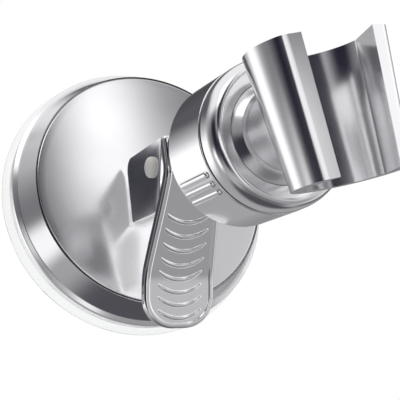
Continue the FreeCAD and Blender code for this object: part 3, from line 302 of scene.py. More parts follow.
def handling_marks():
    """Group: faint wipe marks. Puts out a roughness that varies softly and a very low relief."""
    if "Handling marks" in bpy.data.node_groups:
        return bpy.data.node_groups["Handling marks"]
    group, start, end = node_group(
        "Handling marks",
        [("Scale", "NodeSocketFloat", 60.0), ("Smooth", "NodeSocketFloat", 0.05), ("Worn", "NodeSocketFloat", 0.1)],
        [("Roughness", "NodeSocketFloat"), ("Relief", "NodeSocketFloat")])
    nodes, links = group.nodes, group.links
    place = nodes.new("ShaderNodeTexCoord")
    broad = nodes.new("ShaderNodeTexNoise")
    broad.inputs["Detail"].default_value = 3
    fine = nodes.new("ShaderNodeTexNoise")
    fine.inputs["Detail"].default_value = 5
    more = nodes.new("ShaderNodeMath")
    more.operation = "MULTIPLY"
    more.inputs[1].default_value = 12
    spread = nodes.new("ShaderNodeMapRange")
    links.new(place.outputs["Object"], broad.inputs["Vector"])
    links.new(place.outputs["Object"], fine.inputs["Vector"])
    links.new(start.outputs["Scale"], broad.inputs["Scale"])
    links.new(start.outputs["Scale"], more.inputs[0])
    links.new(more.outputs[0], fine.inputs["Scale"])
    links.new(broad.outputs["Fac"], spread.inputs["Value"])
    spread.inputs["From Min"].default_value = 0.35
    spread.inputs["From Max"].default_value = 0.7
    links.new(start.outputs["Smooth"], spread.inputs["To Min"])
    links.new(start.outputs["Worn"], spread.inputs["To Max"])
    links.new(spread.outputs["Result"], end.inputs["Roughness"])
    links.new(fine.outputs["Fac"], end.inputs["Relief"])
    return group


def surface(name, base, metallic=0.0, smooth=0.3, worn=0.4, scale=60.0, relief=0.0, seam=0.0, painted_reflection_glow=0.0,
            **sockets):
    """A finish with soft handling marks. It can add painted shade in narrow creases and along the outline, and a
    painted glow that only reflections see. Plain values go straight to the shader's sockets.
    """
    material = bpy.data.materials.new(name)
    material.use_nodes = True
    nodes, links = material.node_tree.nodes, material.node_tree.links
    shader = nodes["Principled BSDF"]
    marks = nodes.new("ShaderNodeGroup")
    marks.node_tree = handling_marks()
    marks.inputs["Scale"].default_value = scale
    marks.inputs["Smooth"].default_value = smooth
    marks.inputs["Worn"].default_value = worn
    links.new(marks.outputs["Roughness"], shader.inputs["Roughness"])
    if relief:
        bump = nodes.new("ShaderNodeBump")
        bump.inputs["Strength"].default_value = 0.2
        bump.inputs["Distance"].default_value = relief * MM
        links.new(marks.outputs["Relief"], bump.inputs["Height"])
        links.new(bump.outputs["Normal"], shader.inputs["Normal"])
    shader.inputs["Base Color"].default_value = (*base, 1)
    shader.inputs["Metallic"].default_value = metallic
    # Painted light: the part glows with its own colour for glossy rays only, so its reflections in other pieces come
    # out lighter. It is no lamp.
    if painted_reflection_glow:
        path = nodes.new("ShaderNodeLightPath")
        glow = nodes.new("ShaderNodeVectorMath")
        glow.operation = "SCALE"
        glow.inputs[0].default_value = [painted_reflection_glow * part for part in base]
        links.new(path.outputs["Is Glossy Ray"], glow.inputs["Scale"])
        links.new(glow.outputs[0], shader.inputs["Emission Color"])
        shader.inputs["Emission Strength"].default_value = 1.0
    # Painted shade: the colour is darkened where ambient occlusion finds a narrow crease or gap, and where the surface
    # turns from the eye at the outline.
    if seam:
        near = nodes.new("ShaderNodeAmbientOcclusion")
        near.samples = 6
        near.inputs["Distance"].default_value = seam * MM
        crease_shade_factor = nodes.new("ShaderNodeMapRange")
        crease_shade_factor.inputs["From Min"].default_value = 0.2
        crease_shade_factor.inputs["From Max"].default_value = 0.7
        crease_shade_factor.inputs["To Min"].default_value = 0.02
        links.new(near.outputs["AO"], crease_shade_factor.inputs["Value"])
        turned = nodes.new("ShaderNodeLayerWeight")
        outline_shade_factor = nodes.new("ShaderNodeMapRange")
        outline_shade_factor.inputs["From Min"].default_value = 0.72
        outline_shade_factor.inputs["From Max"].default_value = 0.97
        outline_shade_factor.inputs["To Min"].default_value = 1.0
        outline_shade_factor.inputs["To Max"].default_value = 0.08
        links.new(turned.outputs["Facing"], outline_shade_factor.inputs["Value"])
        painted_shade_factor = nodes.new("ShaderNodeMath")
        painted_shade_factor.operation = "MULTIPLY"
        links.new(crease_shade_factor.outputs["Result"], painted_shade_factor.inputs[0])
        links.new(outline_shade_factor.outputs["Result"], painted_shade_factor.inputs[1])
        shade = nodes.new("ShaderNodeVectorMath")
        shade.operation = "SCALE"
        shade.inputs[0].default_value = base
        links.new(painted_shade_factor.outputs[0], shade.inputs["Scale"])
        links.new(shade.outputs[0], shader.inputs["Base Color"])
    for socket, value in sockets.items():
        shader.inputs[socket.replace("_", " ")].default_value = value
    return material


def finishes():
    """All finishes by name, made once."""
    colours = bpy.context.scene.holder_finish
    if "Mirror plating" not in bpy.data.materials:
        # Every plating gets painted shade in creases and along its outline. The lever plating and, faintly, the soft
        # plating also get a painted glow that is seen only in reflections.
        surface("Mirror plating", colours.plating, metallic=1.0, smooth=0.085, worn=0.12, scale=45.0,
                seam=1.2)
        surface("Lever plating", colours.plating, metallic=1.0, smooth=0.085, worn=0.12, scale=45.0,
                seam=1.2, painted_reflection_glow=0.40)
        surface("Soft plating", colours.plating, metallic=1.0, smooth=0.16, worn=0.2, scale=45.0,
                seam=1.2, painted_reflection_glow=0.07)
        surface("Satin plating", colours.plating, metallic=1.0, smooth=0.18, worn=0.22, scale=30.0, seam=1.2,
                Coat_Weight=1.0, Coat_Roughness=0.02, Coat_IOR=1.5)
        surface("Clear soft vinyl", colours.cup, smooth=0.03, worn=0.08, scale=30.0, Transmission_Weight=1.0, IOR=1.42)
        surface("Pale nylon", colours.pin, smooth=0.28, worn=0.4, scale=200.0, relief=0.02)
        surface("White moulding", colours.pin, smooth=0.3, worn=0.45, scale=150.0, relief=0.02)
        surface("Bright steel", colours.steel, metallic=1.0, smooth=0.2, worn=0.34, scale=300.0, relief=0.01)
        surface("Dark plastic", colours.dark, smooth=0.4, worn=0.55, scale=200.0, relief=0.03)
        surface("Soft black ring", colours.dark, smooth=0.5, worn=0.6, scale=250.0, relief=0.03)
        # Painted shade: the cup's colour is made darker towards its outline, where the surface turns from the eye, to
        # draw its edges.
        vinyl = bpy.data.materials["Clear soft vinyl"].node_tree
        shader = vinyl.nodes["Principled BSDF"]
        edge = vinyl.nodes.new("ShaderNodeLayerWeight")
        edge.inputs["Blend"].default_value = 0.45
        depth = vinyl.nodes.new("ShaderNodeMapRange")
        depth.inputs["From Min"].default_value = 0.45
        depth.inputs["To Min"].default_value = 1
        depth.inputs["To Max"].default_value = 0.12
        vinyl.links.new(edge.outputs["Facing"], depth.inputs["Value"])
        shade = vinyl.nodes.new("ShaderNodeVectorMath")
        shade.operation = "SCALE"
        shade.inputs[0].default_value = colours.cup
        vinyl.links.new(depth.outputs["Result"], shade.inputs["Scale"])
        vinyl.links.new(shade.outputs[0], shader.inputs["Base Color"])
    return bpy.data.materials


# Operators, one for each piece or group of like pieces

class HOLDER_OT_suction_cup(bpy.types.Operator):
    """Clear soft cup: sealing ring, upright rim, web and a boss round the stem's foot"""
    bl_idname = "holder.suction_cup"
    bl_label = "Suction cup"

    def execute(self, context):
        sizes = context.scene.holder_base
        rim, lip = sizes.cup_rim, sizes.lip_height
        section = [
            (0, 3.8 * MM),
            (11 * MM, 3.8 * MM),
            (24 * MM, 2.6 * MM),
            (36 * MM, 0),
            (sizes.cup_radius - 0.3 * MM, 0),
            (sizes.cup_radius, 0.4 * MM),
            (sizes.cup_radius, 1.1 * MM),
            (sizes.cup_radius - 0.9 * MM, 2.0 * MM),
            (rim + 0.1 * MM, 3.2 * MM),
            (rim - 0.1 * MM, lip - 0.4 * MM),
            (rim - 0.5 * MM, lip - 0.06 * MM),
            (37.5 * MM, lip - 0.06 * MM),
            (35.7 * MM, 5.2 * MM),
            (14 * MM, 5.2 * MM),
            (13.6 * MM, 9.0 * MM),
            (5.3 * MM, 9.0 * MM),
            (5.3 * MM, 7.8 * MM),
            (11.1 * MM, 7.8 * MM),
            (11.1 * MM, 5.3 * MM),
            (0, 5.3 * MM),
        ]
        cup = turned("clear_cup", section, BASE, 192, 0.35 * MM)
        finish_piece(cup, "base", finishes()["Clear soft vinyl"], "clear_cup", "suction_cup")
        return {"FINISHED"}


class HOLDER_OT_base_cover(bpy.types.Operator):
    """Plated cover: lip, wide bevel, fine groove and a gently crowned face"""
    bl_idname = "holder.base_cover"
    bl_label = "Base cover"

    def execute(self, context):
        sizes = context.scene.holder_base
        wall = sizes.cover_wall
        lip_top = sizes.lip_height + 2.2 * MM
        bevel_top = lip_top + sizes.bevel_rise
        crown = bevel_top + sizes.face_crown
        face_edge = sizes.bevel_top - sizes.groove
        face = []
        face_round = 0.4 * MM
        for step in range(17):
            radius = (face_edge - face_round) * step / 16
            face.append((radius, crown - sizes.face_crown * (radius / face_edge) ** 2))
        for angle in (22, 45, 68):
            turn = math.radians(angle)
            face.append((face_edge - face_round + face_round * math.sin(turn),
                         bevel_top - face_round + face_round * math.cos(turn)))
        section = [(0, bevel_top - wall)] + face + [
            (face_edge + 0.05 * MM, bevel_top - 0.9 * MM),
            (face_edge + 0.50 * MM, bevel_top - 0.9 * MM),
            (sizes.bevel_top - 0.02 * MM, bevel_top - 0.05 * MM),
            (sizes.bevel_foot, lip_top),
            (sizes.bevel_foot + 0.15 * MM, lip_top - 0.1 * MM),
            (sizes.lip_radius, sizes.lip_height + 1.4 * MM),
            (sizes.lip_radius, sizes.lip_height + 0.02 * MM),
            (sizes.bevel_foot - wall, sizes.lip_height + 0.02 * MM),
            (sizes.bevel_top - wall, bevel_top - wall),
            (0, bevel_top - wall),
        ]
        cover = turned("plated_cover", section, Matrix.Identity(4), 256, 0.12 * MM)
        self.guide(cover, sizes, bevel_top - wall, crown)
        seat(cover, BASE)
        finish_piece(cover, "base", finishes()["Satin plating"], "plating", "base_cover")
        return {"FINISHED"}


    def block(self, x, y, z, width, height, depth, turn=0):
        bpy.ops.object.select_all(action="DESELECT")
        bpy.ops.mesh.primitive_cube_add(size=1, location=(x, y, z), scale=(width, height, depth))
        block = bpy.context.object
        bpy.ops.object.transform_apply(location=True, rotation=True, scale=True)
        if turn:
            seat(block, Matrix.Rotation(turn, 4, "Z"))
        return block

    def guide(self, cover, sizes, under, crown):
        """Ribs under the face, the guide round the stem and the stem's opening."""
        depth = sizes.guide_depth
        middle = under - depth / 2
        inner, outer = 12.2 * MM, sizes.bevel_foot - 2 * sizes.cover_wall
        first = self.block((inner + outer) / 2, 0, middle + 0.1 * MM, outer - inner, sizes.rib_thick, depth + 0.2 * MM)
        for number in range(1, sizes.rib_count):
            rib = copy_of(first, "cover_rib")
            seat(rib, Matrix.Rotation(math.tau * number / sizes.rib_count, 4, "Z"))
            cut_with(cover, rib, "UNION")
        cut_with(cover, first, "UNION")
        width, height = sizes.stem_width + 0.6 * MM, sizes.stem_height + 0.6 * MM
        wall = 2 * sizes.guide_wall
        post = self.block(0, PIN_UP, middle + 0.1 * MM, width + wall, height + wall, depth + 0.2 * MM)
        cut_with(cover, post, "UNION")
        opening = self.block(0, PIN_UP, under, width, height, 4 * depth)
        cut_with(cover, opening)
        bpy.ops.object.shade_smooth()
        apply_modifier(cover, "WEIGHTED_NORMAL", mode="FACE_AREA_WITH_ANGLE", weight=50, keep_sharp=False)


class HOLDER_OT_pivot_pin(bpy.types.Operator):
    """Pale cross pin with slightly domed ends"""
    bl_idname = "holder.pivot_pin"
    bl_label = "Pivot pin"

    def execute(self, context):
        sizes = context.scene.holder_base
        half = context.scene.holder_lever.half_top + sizes.pin_proud
        radius = sizes.pin_radius
        end = [(0, half), (radius * 0.4, half - 0.08 * MM), (radius * 0.7, half - 0.3 * MM),
               (radius * 0.9, half - 0.65 * MM), (radius, half - 1.2 * MM)]
        section = end + [(side, -height) for side, height in reversed(end)]
        across = BASE @ Matrix.Translation((0, PIN_UP, PIN_OUT)) @ Matrix.Rotation(math.pi / 2, 4, "Y")
        pin = turned("pale_pin", section, across, 64, 0)
        finish_piece(pin, "stem", finishes()["Pale nylon"], "pale_pin", "pivot_pin")
        return {"FINISHED"}


def lever_route(sizes):
    """The front of the plate as straight runs and bends: (kind, length, turn in radians, radius)."""
    steep, gentle = math.radians(37), math.radians(20)
    first, second = 8 * MM, 14.6 * MM
    cut_first, cut_second = first * math.tan(steep / 2), second * math.tan(gentle / 2)
    return [
        ("run", sizes.upper - cut_first, 0, 0),
        ("bend", first * steep, -steep, first),
        ("run", sizes.slope - cut_first - cut_second, 0, 0),
        ("bend", second * gentle, gentle, second),
        ("run", sizes.tip - cut_second, 0, 0),
    ]


def route_length_at(route, down):
    """Length along the route at which it has come that far down, as seen from the front."""
    travelled, place, heading = 0.0, 0.0, 0.0
    for kind, size, turn, radius in route:
        steps = 200
        for step in range(steps):
            part = size / steps
            place += part * math.cos(heading + turn * (step + 0.5) / steps)
            travelled += part
            if place >= down:
                return travelled
        heading += turn
    return travelled


def route_curve(route):
    """A bezier curve along the route, in the plane x to y, for bending the flat lever."""
    points = [(Vector((0, 0, 0)), Vector((1, 0, 0)))]
    ahead = Vector((1, 0, 0))
    reaches = []
    for kind, size, turn, radius in route:
        place = points[-1][0]
        if kind == "run":
            after = place + ahead * size
            reaches.append(size / 3)
        else:
            side = Vector((-ahead.y, ahead.x, 0)) * (1 if turn > 0 else -1)
            centre = place + side * radius
            ahead = Matrix.Rotation(turn, 3, "Z") @ ahead
            side = Vector((-ahead.y, ahead.x, 0)) * (1 if turn > 0 else -1)
            after = centre - side * radius
            reaches.append(4 / 3 * math.tan(abs(turn) / 4) * radius)
        points.append((after, ahead.copy()))
    bpy.ops.object.select_all(action="DESELECT")
    bpy.ops.curve.primitive_bezier_curve_add(location=(0, 0, 0))
    route_object = bpy.context.object
    route_object.data.dimensions = "2D"
    route_object.data.resolution_u = 48
    spline = route_object.data.splines[0]
    spline.bezier_points.add(len(points) - 2)
    for number, (place, heading) in enumerate(points):
        knot = spline.bezier_points[number]
        knot.handle_left_type = "FREE"
        knot.handle_right_type = "FREE"
        before = reaches[number - 1] if number else reaches[0]
        behind = reaches[number] if number < len(reaches) else reaches[-1]
        knot.co = place
        knot.handle_left = place - heading * before
        knot.handle_right = place + heading * behind
    return route_object


class HOLDER_OT_lever(bpy.types.Operator):
    """Plated lever: bent plate with a raised rim and raised arcs, two cheeks and their cams"""
    bl_idname = "holder.lever"
    bl_label = "Lever"

    def execute(self, context):
        sizes = context.scene.holder_lever
        base = context.scene.holder_base
        route = lever_route(sizes)
        plate = self.flat_plate(sizes, route)
        arcs = self.flat_arcs(sizes, route)
        plate = join([plate] + arcs, "lever_plate")
        bending = route_curve(route)
        apply_modifier(plate, "CURVE", object=bending, deform_axis="POS_X")
        bpy.data.objects.remove(bending, do_unlink=True)
        bpy.context.view_layer.objects.active = plate
        bpy.ops.object.select_all(action="DESELECT")
        plate.select_set(True)
        bpy.ops.object.shade_smooth()
        apply_modifier(plate, "WEIGHTED_NORMAL", mode="FACE_AREA_WITH_ANGLE", weight=50, keep_sharp=False)
        turn = Matrix(((0, 0, -1, 0), (-1, 0, 0, sizes.top), (0, 1, 0, sizes.front), (0, 0, 0, 1)))
        seat(plate, BASE @ turn)
        cheeks = [self.cheek(sizes, base, side) for side in (-1, 1)]
        lever = join([plate] + cheeks, "plated_lever")
        finish_piece(lever, "lever", finishes()["Lever plating"], "plating", "lever")
        return {"FINISHED"}

    def outline(self, sizes, route):
        """Half the flat outline, as (along, half width), from the top edge to the tip."""
        total = sum(part[1] for part in route)
        start = route_length_at(route, 11.5 * MM + sizes.top)
        end = route_length_at(route, 33 * MM + sizes.top)
        corner = sizes.tip_corner
        half = [(0, sizes.half_top), (start - 3 * MM, sizes.half_top)]
        for step in range(1, 8):
            part = step / 8
            eased = part * part * (3 - 2 * part)
            half.append((start - 3 * MM + (end - start + 6 * MM) * part,
                         sizes.half_top + (sizes.half_paddle - sizes.half_top) * (0.5 * part + 0.5 * eased)))
        half.append((end + 3 * MM, sizes.half_paddle))
        for step in range(0, 17):
            angle = math.radians(90 * step / 16)
            half.append((total - corner + corner * math.sin(angle),
                         sizes.half_paddle - corner + corner * math.cos(angle)))
        return half

    def flat_plate(self, sizes, route):
        half = self.outline(sizes, route)
        loop = [(along, 0, across) for along, across in half]
        loop += [(along, 0, -across) for along, across in reversed(half)]
        plate = draw_line("lever_plate", loop, closed=True)
        bpy.ops.mesh.select_mode(type="FACE")
        bpy.ops.mesh.select_all(action="SELECT")
        bpy.ops.mesh.normals_make_consistent(inside=False)
        faces_out = plate.data
        bpy.ops.mesh.extrude_region_move(TRANSFORM_OT_translate={"value": (0, -sizes.thick, 0)})
        bpy.ops.mesh.select_all(action="SELECT")
        bpy.ops.mesh.normals_make_consistent(inside=False)
        self.select_level(plate, 0)
        bpy.ops.mesh.inset(thickness=sizes.rim_width, depth=0)
        bpy.ops.mesh.inset(thickness=0.3 * MM, depth=-sizes.rim_step)
        bpy.ops.object.mode_set(mode="OBJECT")
        apply_modifier(plate, "BEVEL", width=0.9 * MM, segments=5, limit_method="ANGLE",
                       angle_limit=math.radians(60), use_clamp_overlap=True)
        apply_modifier(plate, "BEVEL", width=0.14 * MM, segments=2, limit_method="ANGLE",
                       angle_limit=math.radians(35), use_clamp_overlap=True)
        total = sum(part[1] for part in route)
        bpy.ops.object.mode_set(mode="EDIT")
        count = 72
        for step in range(1, count):
            bpy.ops.mesh.select_all(action="SELECT")
            bpy.ops.mesh.bisect(plane_co=(total * step / count, 0, 0), plane_no=(1, 0, 0))
        bpy.ops.object.mode_set(mode="OBJECT")
        return plate

    def select_level(self, plate, height):
        """Selects the faces that lie flat at a height."""
        bpy.ops.mesh.select_all(action="DESELECT")
        bpy.ops.object.mode_set(mode="OBJECT")
        for face in plate.data.polygons:
            level = all(abs(plate.data.vertices[index].co.y - height) < 1e-6 for index in face.vertices)
            face.select = level
        bpy.ops.object.mode_set(mode="EDIT")

    def flat_arcs(self, sizes, route):
        """Raised arcs in a row, each a bead that thins at its ends."""
        half_angle = math.radians(43)
        radius = sizes.arc_radius
        bpy.ops.object.select_all(action="DESELECT")
        bpy.ops.curve.primitive_bezier_curve_add(location=(0, 0, 0))
        bead = bpy.context.object
        bead.data.dimensions = "3D"
        bead.data.bevel_depth = sizes.arc_bead
        bead.data.bevel_resolution = 5
        bead.data.resolution_u = 10
        bead.data.use_fill_caps = True
        spline = bead.data.splines[0]
        spline.radius_interpolation = "EASE"
        shares = [(-1, 0.2), (-0.94, 0.62), (-0.55, 0.92), (0, 1), (0.55, 0.92), (0.94, 0.62), (1, 0.2)]
        spline.bezier_points.add(len(shares) - 2)
        for number, (share, thickness) in enumerate(shares):
            knot = spline.bezier_points[number]
            angle = share * half_angle
            knot.co = (radius * math.cos(angle) - radius, 0, radius * math.sin(angle))
            knot.radius = thickness
        for knot in spline.bezier_points:
            knot.handle_left_type = "AUTO"
            knot.handle_right_type = "AUTO"
        bpy.ops.object.convert(target="MESH")
        first = bpy.context.object
        beads = [first]
        for number in range(1, sizes.arc_count):
            beads.append(copy_of(first, "raised_arc_%d" % number))
        sunk = sizes.rim_step + 0.25 * MM
        for number, piece in enumerate(beads):
            down = sizes.top + 19.5 * MM + number * sizes.arc_pitch
            along = route_length_at(route, down)
            seat(piece, Matrix.Translation((along, -sunk, 0)))
        return beads

    def cheek(self, sizes, base, side):
        """One cheek, drawn as (up, out) and thickened, with the pin's hole and a cam inside."""
        crown = base.lip_height + 2.2 * MM + base.bevel_rise + base.face_crown
        edge = crown + 1.3 * MM
        plate_in = sizes.front - sizes.thick / 2
        corner = 4.3 * MM
        points = [(sizes.top, plate_in)]
        for step in range(0, 11):
            angle = math.radians(6 + 84 * step / 10)
            points.append((7.35 * MM - corner + corner * math.cos(angle), edge + corner - corner * math.sin(angle)))
        low = -13.4 * MM
        for step in range(0, 5):
            angle = math.radians(90 * step / 4)
            points.append((low + 1.2 * MM - 1.2 * MM * math.sin(angle), edge + 1.2 * MM - 1.2 * MM * math.cos(angle)))
        points += [(-15.6 * MM, edge + 16.2 * MM), (-15.6 * MM, plate_in - 8 * MM)]
        outer = side * sizes.half_top
        cheek = draw_line("cheek", [(outer, up, out) for up, out in points], closed=True)
        bpy.ops.mesh.extrude_region_move(TRANSFORM_OT_translate={"value": (-side * 2 * MM, 0, 0)})
        leave_edit()
        soften(cheek, 0.3 * MM, 3, 40)
        bpy.ops.object.select_all(action="DESELECT")
        bpy.ops.mesh.primitive_cylinder_add(vertices=64, radius=base.pin_radius + 0.05 * MM, depth=12 * MM,
                                            location=(outer, PIN_UP, PIN_OUT), rotation=(0, math.pi / 2, 0))
        cut_with(cheek, bpy.context.object)
        bpy.ops.object.select_all(action="DESELECT")
        cam_radius = 4 * MM
        cam_end = crown + 0.3 * MM + cam_radius
        inner = side * (sizes.half_top - 1.9 * MM)
        cam_line = [(inner, PIN_UP + cam_radius, plate_in)]
        for step in range(0, 17):
            angle = math.pi * step / 16
            cam_line.append((inner, PIN_UP + cam_radius * math.cos(angle), cam_end - cam_radius * math.sin(angle)))
        cam_line.append((inner, PIN_UP - cam_radius, plate_in))
        cam = draw_line("cam", cam_line, closed=True)
        bpy.ops.mesh.extrude_region_move(TRANSFORM_OT_translate={"value": (-side * 2.1 * MM, 0, 0)})
        leave_edit()
        bpy.ops.object.select_all(action="DESELECT")
        bpy.ops.mesh.primitive_cylinder_add(vertices=64, radius=base.pin_radius + 0.05 * MM, depth=12 * MM,
                                            location=(inner, PIN_UP, PIN_OUT), rotation=(0, math.pi / 2, 0))
        cut_with(cam, bpy.context.object)
        soften(cam, 0.2 * MM, 2, 40)
        seat(cheek, BASE)
        seat(cam, BASE)
        return join([cheek, cam], "cheek")


class HOLDER_OT_barrel_sleeve(bpy.types.Operator):
    """Plated sleeve with groups of raised grip bars"""
    bl_idname = "holder.barrel_sleeve"
    bl_label = "Barrel sleeve"

    def execute(self, context):
        sizes = context.scene.holder_barrel
        back, front = sizes.back, sizes.back + sizes.sleeve
        radius, bore = sizes.radius, sizes.radius - sizes.wall
        lip = 17.35 * MM
        section = [
            (bore, back), (radius - 0.5 * MM, back), (radius, back + 0.5 * MM),
            (radius, back + 5 * MM), (radius, front - 5 * MM),
            (radius, front - 0.3 * MM), (radius - 0.15 * MM, front - 0.1 * MM), (lip, front - 0.1 * MM),
            (lip, front - 1.6 * MM), (bore, front - 1.6 * MM), (bore, back),
        ]
        sleeve = turned("plated_sleeve", section, Matrix.Identity(4), 192, 0.18 * MM)
        bars = self.grip_bars(sizes)
        sleeve = join([sleeve] + bars, "plated_sleeve")
        seat(sleeve, BARREL)
        finish_piece(sleeve, "sleeve", finishes()["Mirror plating"], "plating", "barrel_sleeve")
        return {"FINISHED"}

    def grip_bars(self, sizes):
        """One bar is modelled and its copies are turned to their places."""
        bpy.ops.object.select_all(action="DESELECT")
        bpy.ops.mesh.primitive_cube_add(size=1, location=(0, 0, 0), scale=(1.6 * MM, sizes.bar_width, sizes.bar_length))
        first = bpy.context.object
        bpy.ops.object.transform_apply(location=True, rotation=True, scale=True)
        soften(first, 0.78 * MM, 6, 40)
        middle = sizes.back + 1.6 * MM + sizes.bar_length / 2
        seat(first, Matrix.Translation((sizes.radius - 0.1 * MM, 0, middle)))
        bars = []
        for group in range(3):
            for shift in (-7.6, 0, 7.6):
                bar = copy_of(first, "grip_bar")
                seat(bar, Matrix.Rotation(math.radians(217.0 + 120 * group + shift), 4, "Z"))
                bars.append(bar)
        bpy.data.objects.remove(first, do_unlink=True)
        return bars


class HOLDER_OT_front_collar(bpy.types.Operator):
    """Rounded collar with a dished front and its bearing"""
    bl_idname = "holder.front_collar"
    bl_label = "Front collar"

    def execute(self, context):
        sizes = context.scene.holder_barrel
        back = sizes.back + sizes.sleeve + sizes.seam
        front = back + sizes.collar
        rim = sizes.collar_rim
        radius = sizes.radius - 0.1 * MM
        dish = front - sizes.collar_dish
        bearing = sizes.hub + 0.05 * MM
        shoulder = [(radius, back + 2.6 * MM)]
        for step in range(1, 11):
            angle = math.radians(90 * step / 10)
            shoulder.append((rim + 0.1 * MM + (radius - rim - 0.1 * MM) * math.cos(angle),
                             back + 2.6 * MM + (front - back - 2.6 * MM) * math.sin(angle)))
        section = [
            (15.9 * MM, back - 3.4 * MM), (18.25 * MM, back - 3.4 * MM), (18.25 * MM, back - 2.1 * MM),
            (17.2 * MM, back - 2.1 * MM), (17.2 * MM, back), (radius - 0.4 * MM, back), (radius, back + 0.4 * MM),
        ] + shoulder + [
            (rim - 0.35 * MM, front - 0.05 * MM), (bearing, dish), (bearing, dish - 3.1 * MM),
            (15.9 * MM, dish - 3.1 * MM), (15.9 * MM, back - 3.4 * MM),
        ]
        collar = turned("plated_collar", section, BARREL, 192, 0.12 * MM)
        finish_piece(collar, "arm", finishes()["Soft plating"], "plating", "front_collar")
        return {"FINISHED"}


class HOLDER_OT_clip(bpy.types.Operator):
    """Tapered clip with bevelled noses, its neck and its foot in the bearing"""
    bl_idname = "holder.clip"
    bl_label = "Clip"

    def execute(self, context):
        sizes = context.scene.holder_clip
        barrel = context.scene.holder_barrel
        cradle = self.solid("cradle", self.outer_line(sizes, 1), self.outer_line(sizes, 0), sizes, 0)
        bpy.ops.object.select_all(action="DESELECT")
        start = 106 * MM
        reach = 20 * MM
        bpy.ops.mesh.primitive_cylinder_add(vertices=128, radius=barrel.neck, depth=reach,
                                            location=(0, 0, start + reach / 2))
        cut_with(cradle, bpy.context.object, "UNION")
        channel = self.solid("channel", self.inner_line(sizes, 1), self.inner_line(sizes, 0), sizes, 2 * MM)
        cut_with(cradle, channel)
        soften(cradle, 0.5 * MM, 4, 35)
        hub = barrel.hub
        section = [
            (2.05 * MM, 100.15 * MM), (hub, 100.15 * MM), (hub, 101.5 * MM), (12 * MM, 101.5 * MM),
            (12 * MM, 103.4 * MM), (hub, 103.4 * MM), (hub, 104.1 * MM), (barrel.neck, 106.1 * MM),
            (barrel.neck, 107 * MM), (2.05 * MM, 107 * MM), (2.05 * MM, 100.15 * MM),
        ]
        foot = turned("clip_foot", section, Matrix.Identity(4), 128, 0.1 * MM)
        clip = join([cradle, foot], "plated_clip")
        seat(clip, CLIP)
        finish_piece(clip, "clip", finishes()["Soft plating"], "plating", "clip")
        return {"FINISHED"}

    def level(self, sizes, top):
        """Sizes of one end of the clip: bore, outside, centre, half mouth, outer half of a nose."""
        if top:
            return (sizes.bore_top, sizes.bore_top + sizes.wall_top, sizes.centre_top,
                    sizes.mouth_top / 2, sizes.mouth_top / 2 + 4.6 * MM)
        return (sizes.bore_bottom, sizes.bore_bottom + sizes.wall_bottom, sizes.centre_bottom,
                sizes.mouth_bottom / 2, sizes.mouth_bottom / 2 + 4.0 * MM)

    def outer_line(self, sizes, top):
        """Outside of the section at one end: round the back from nose to nose, then across the front."""
        bore, outer, centre, mouth, nose = self.level(sizes, top)
        ahead = math.degrees(math.asin(nose / outer)) + math.degrees(1.5 * MM / outer)
        line = [(outer * math.sin(math.radians(angle)), centre + outer * math.cos(math.radians(angle)))
                for angle in [ahead + (360 - 2 * ahead) * step / 72 for step in range(73)]]
        lead = centre + math.sqrt(outer ** 2 - nose ** 2) + 0.9 * MM
        rounding = 1.5 * MM
        corner = Vector((nose, lead - 0.9 * MM))
        along = Vector((mouth, lead)) - corner
        end = corner + along.normalized() * rounding
        start = Vector(line[0])
        right = [((1 - t) ** 2 * end + 2 * t * (1 - t) * corner + t * t * start) for t in (0, 0.2, 0.4, 0.6, 0.8)]
        left = [(-x, z) for x, z in reversed(right)]
        return line + left + [(-mouth, lead), (mouth, lead)] + [tuple(point) for point in right]

    def inner_line(self, sizes, top):
        """Inside of the section at one end, drawn on past the noses so that it cuts them free."""
        bore, outer, centre, mouth, nose = self.level(sizes, top)
        crease = (1.9 if top else 1.5) * MM
        side = math.sqrt(bore ** 2 - crease ** 2)
        start = 90 + math.degrees(math.asin(crease / bore))
        line = [(bore * math.sin(math.radians(angle)), centre + bore * math.cos(math.radians(angle)))
                for angle in [start + (360 - 2 * start) * step / 56 for step in range(57)]]
        lead = centre + math.sqrt(outer ** 2 - nose ** 2) + 0.9 * MM
        ahead = 3 * MM
        spread = mouth - (side - mouth) * ahead / (lead - centre + crease)
        return line + [(-spread, lead + ahead), (spread, lead + ahead)]

    def solid(self, name, top_line, bottom_line, sizes, longer):
        """A tapered solid: the top section is extruded down and its copy takes the bottom's shape."""
        height = sizes.top + sizes.bottom
        over = longer / height
        upper = [self.between(a, b, -over) for a, b in zip(top_line, bottom_line)]
        lower = [self.between(a, b, 1 + over) for a, b in zip(top_line, bottom_line)]
        piece = draw_line(name, [(x, sizes.top + longer, z) for x, z in upper], closed=True)
        bpy.ops.mesh.extrude_region_move(TRANSFORM_OT_translate={"value": (0, -height - 2 * longer, 0)})
        bpy.ops.object.mode_set(mode="OBJECT")
        floor_level = -sizes.bottom - longer
        moved = [vertex for vertex in piece.data.vertices if abs(vertex.co.y - floor_level) < 1e-6]
        for vertex in moved:
            nearest = min(range(len(upper)), key=lambda n: (upper[n][0] - vertex.co.x) ** 2 + (upper[n][1] - vertex.co.z) ** 2)
            vertex.co.x, vertex.co.z = lower[nearest]
        bpy.ops.object.mode_set(mode="EDIT")
        leave_edit()
        return piece

    def between(self, a, b, share):
        return (a[0] + (b[0] - a[0]) * share, a[1] + (b[1] - a[1]) * share)


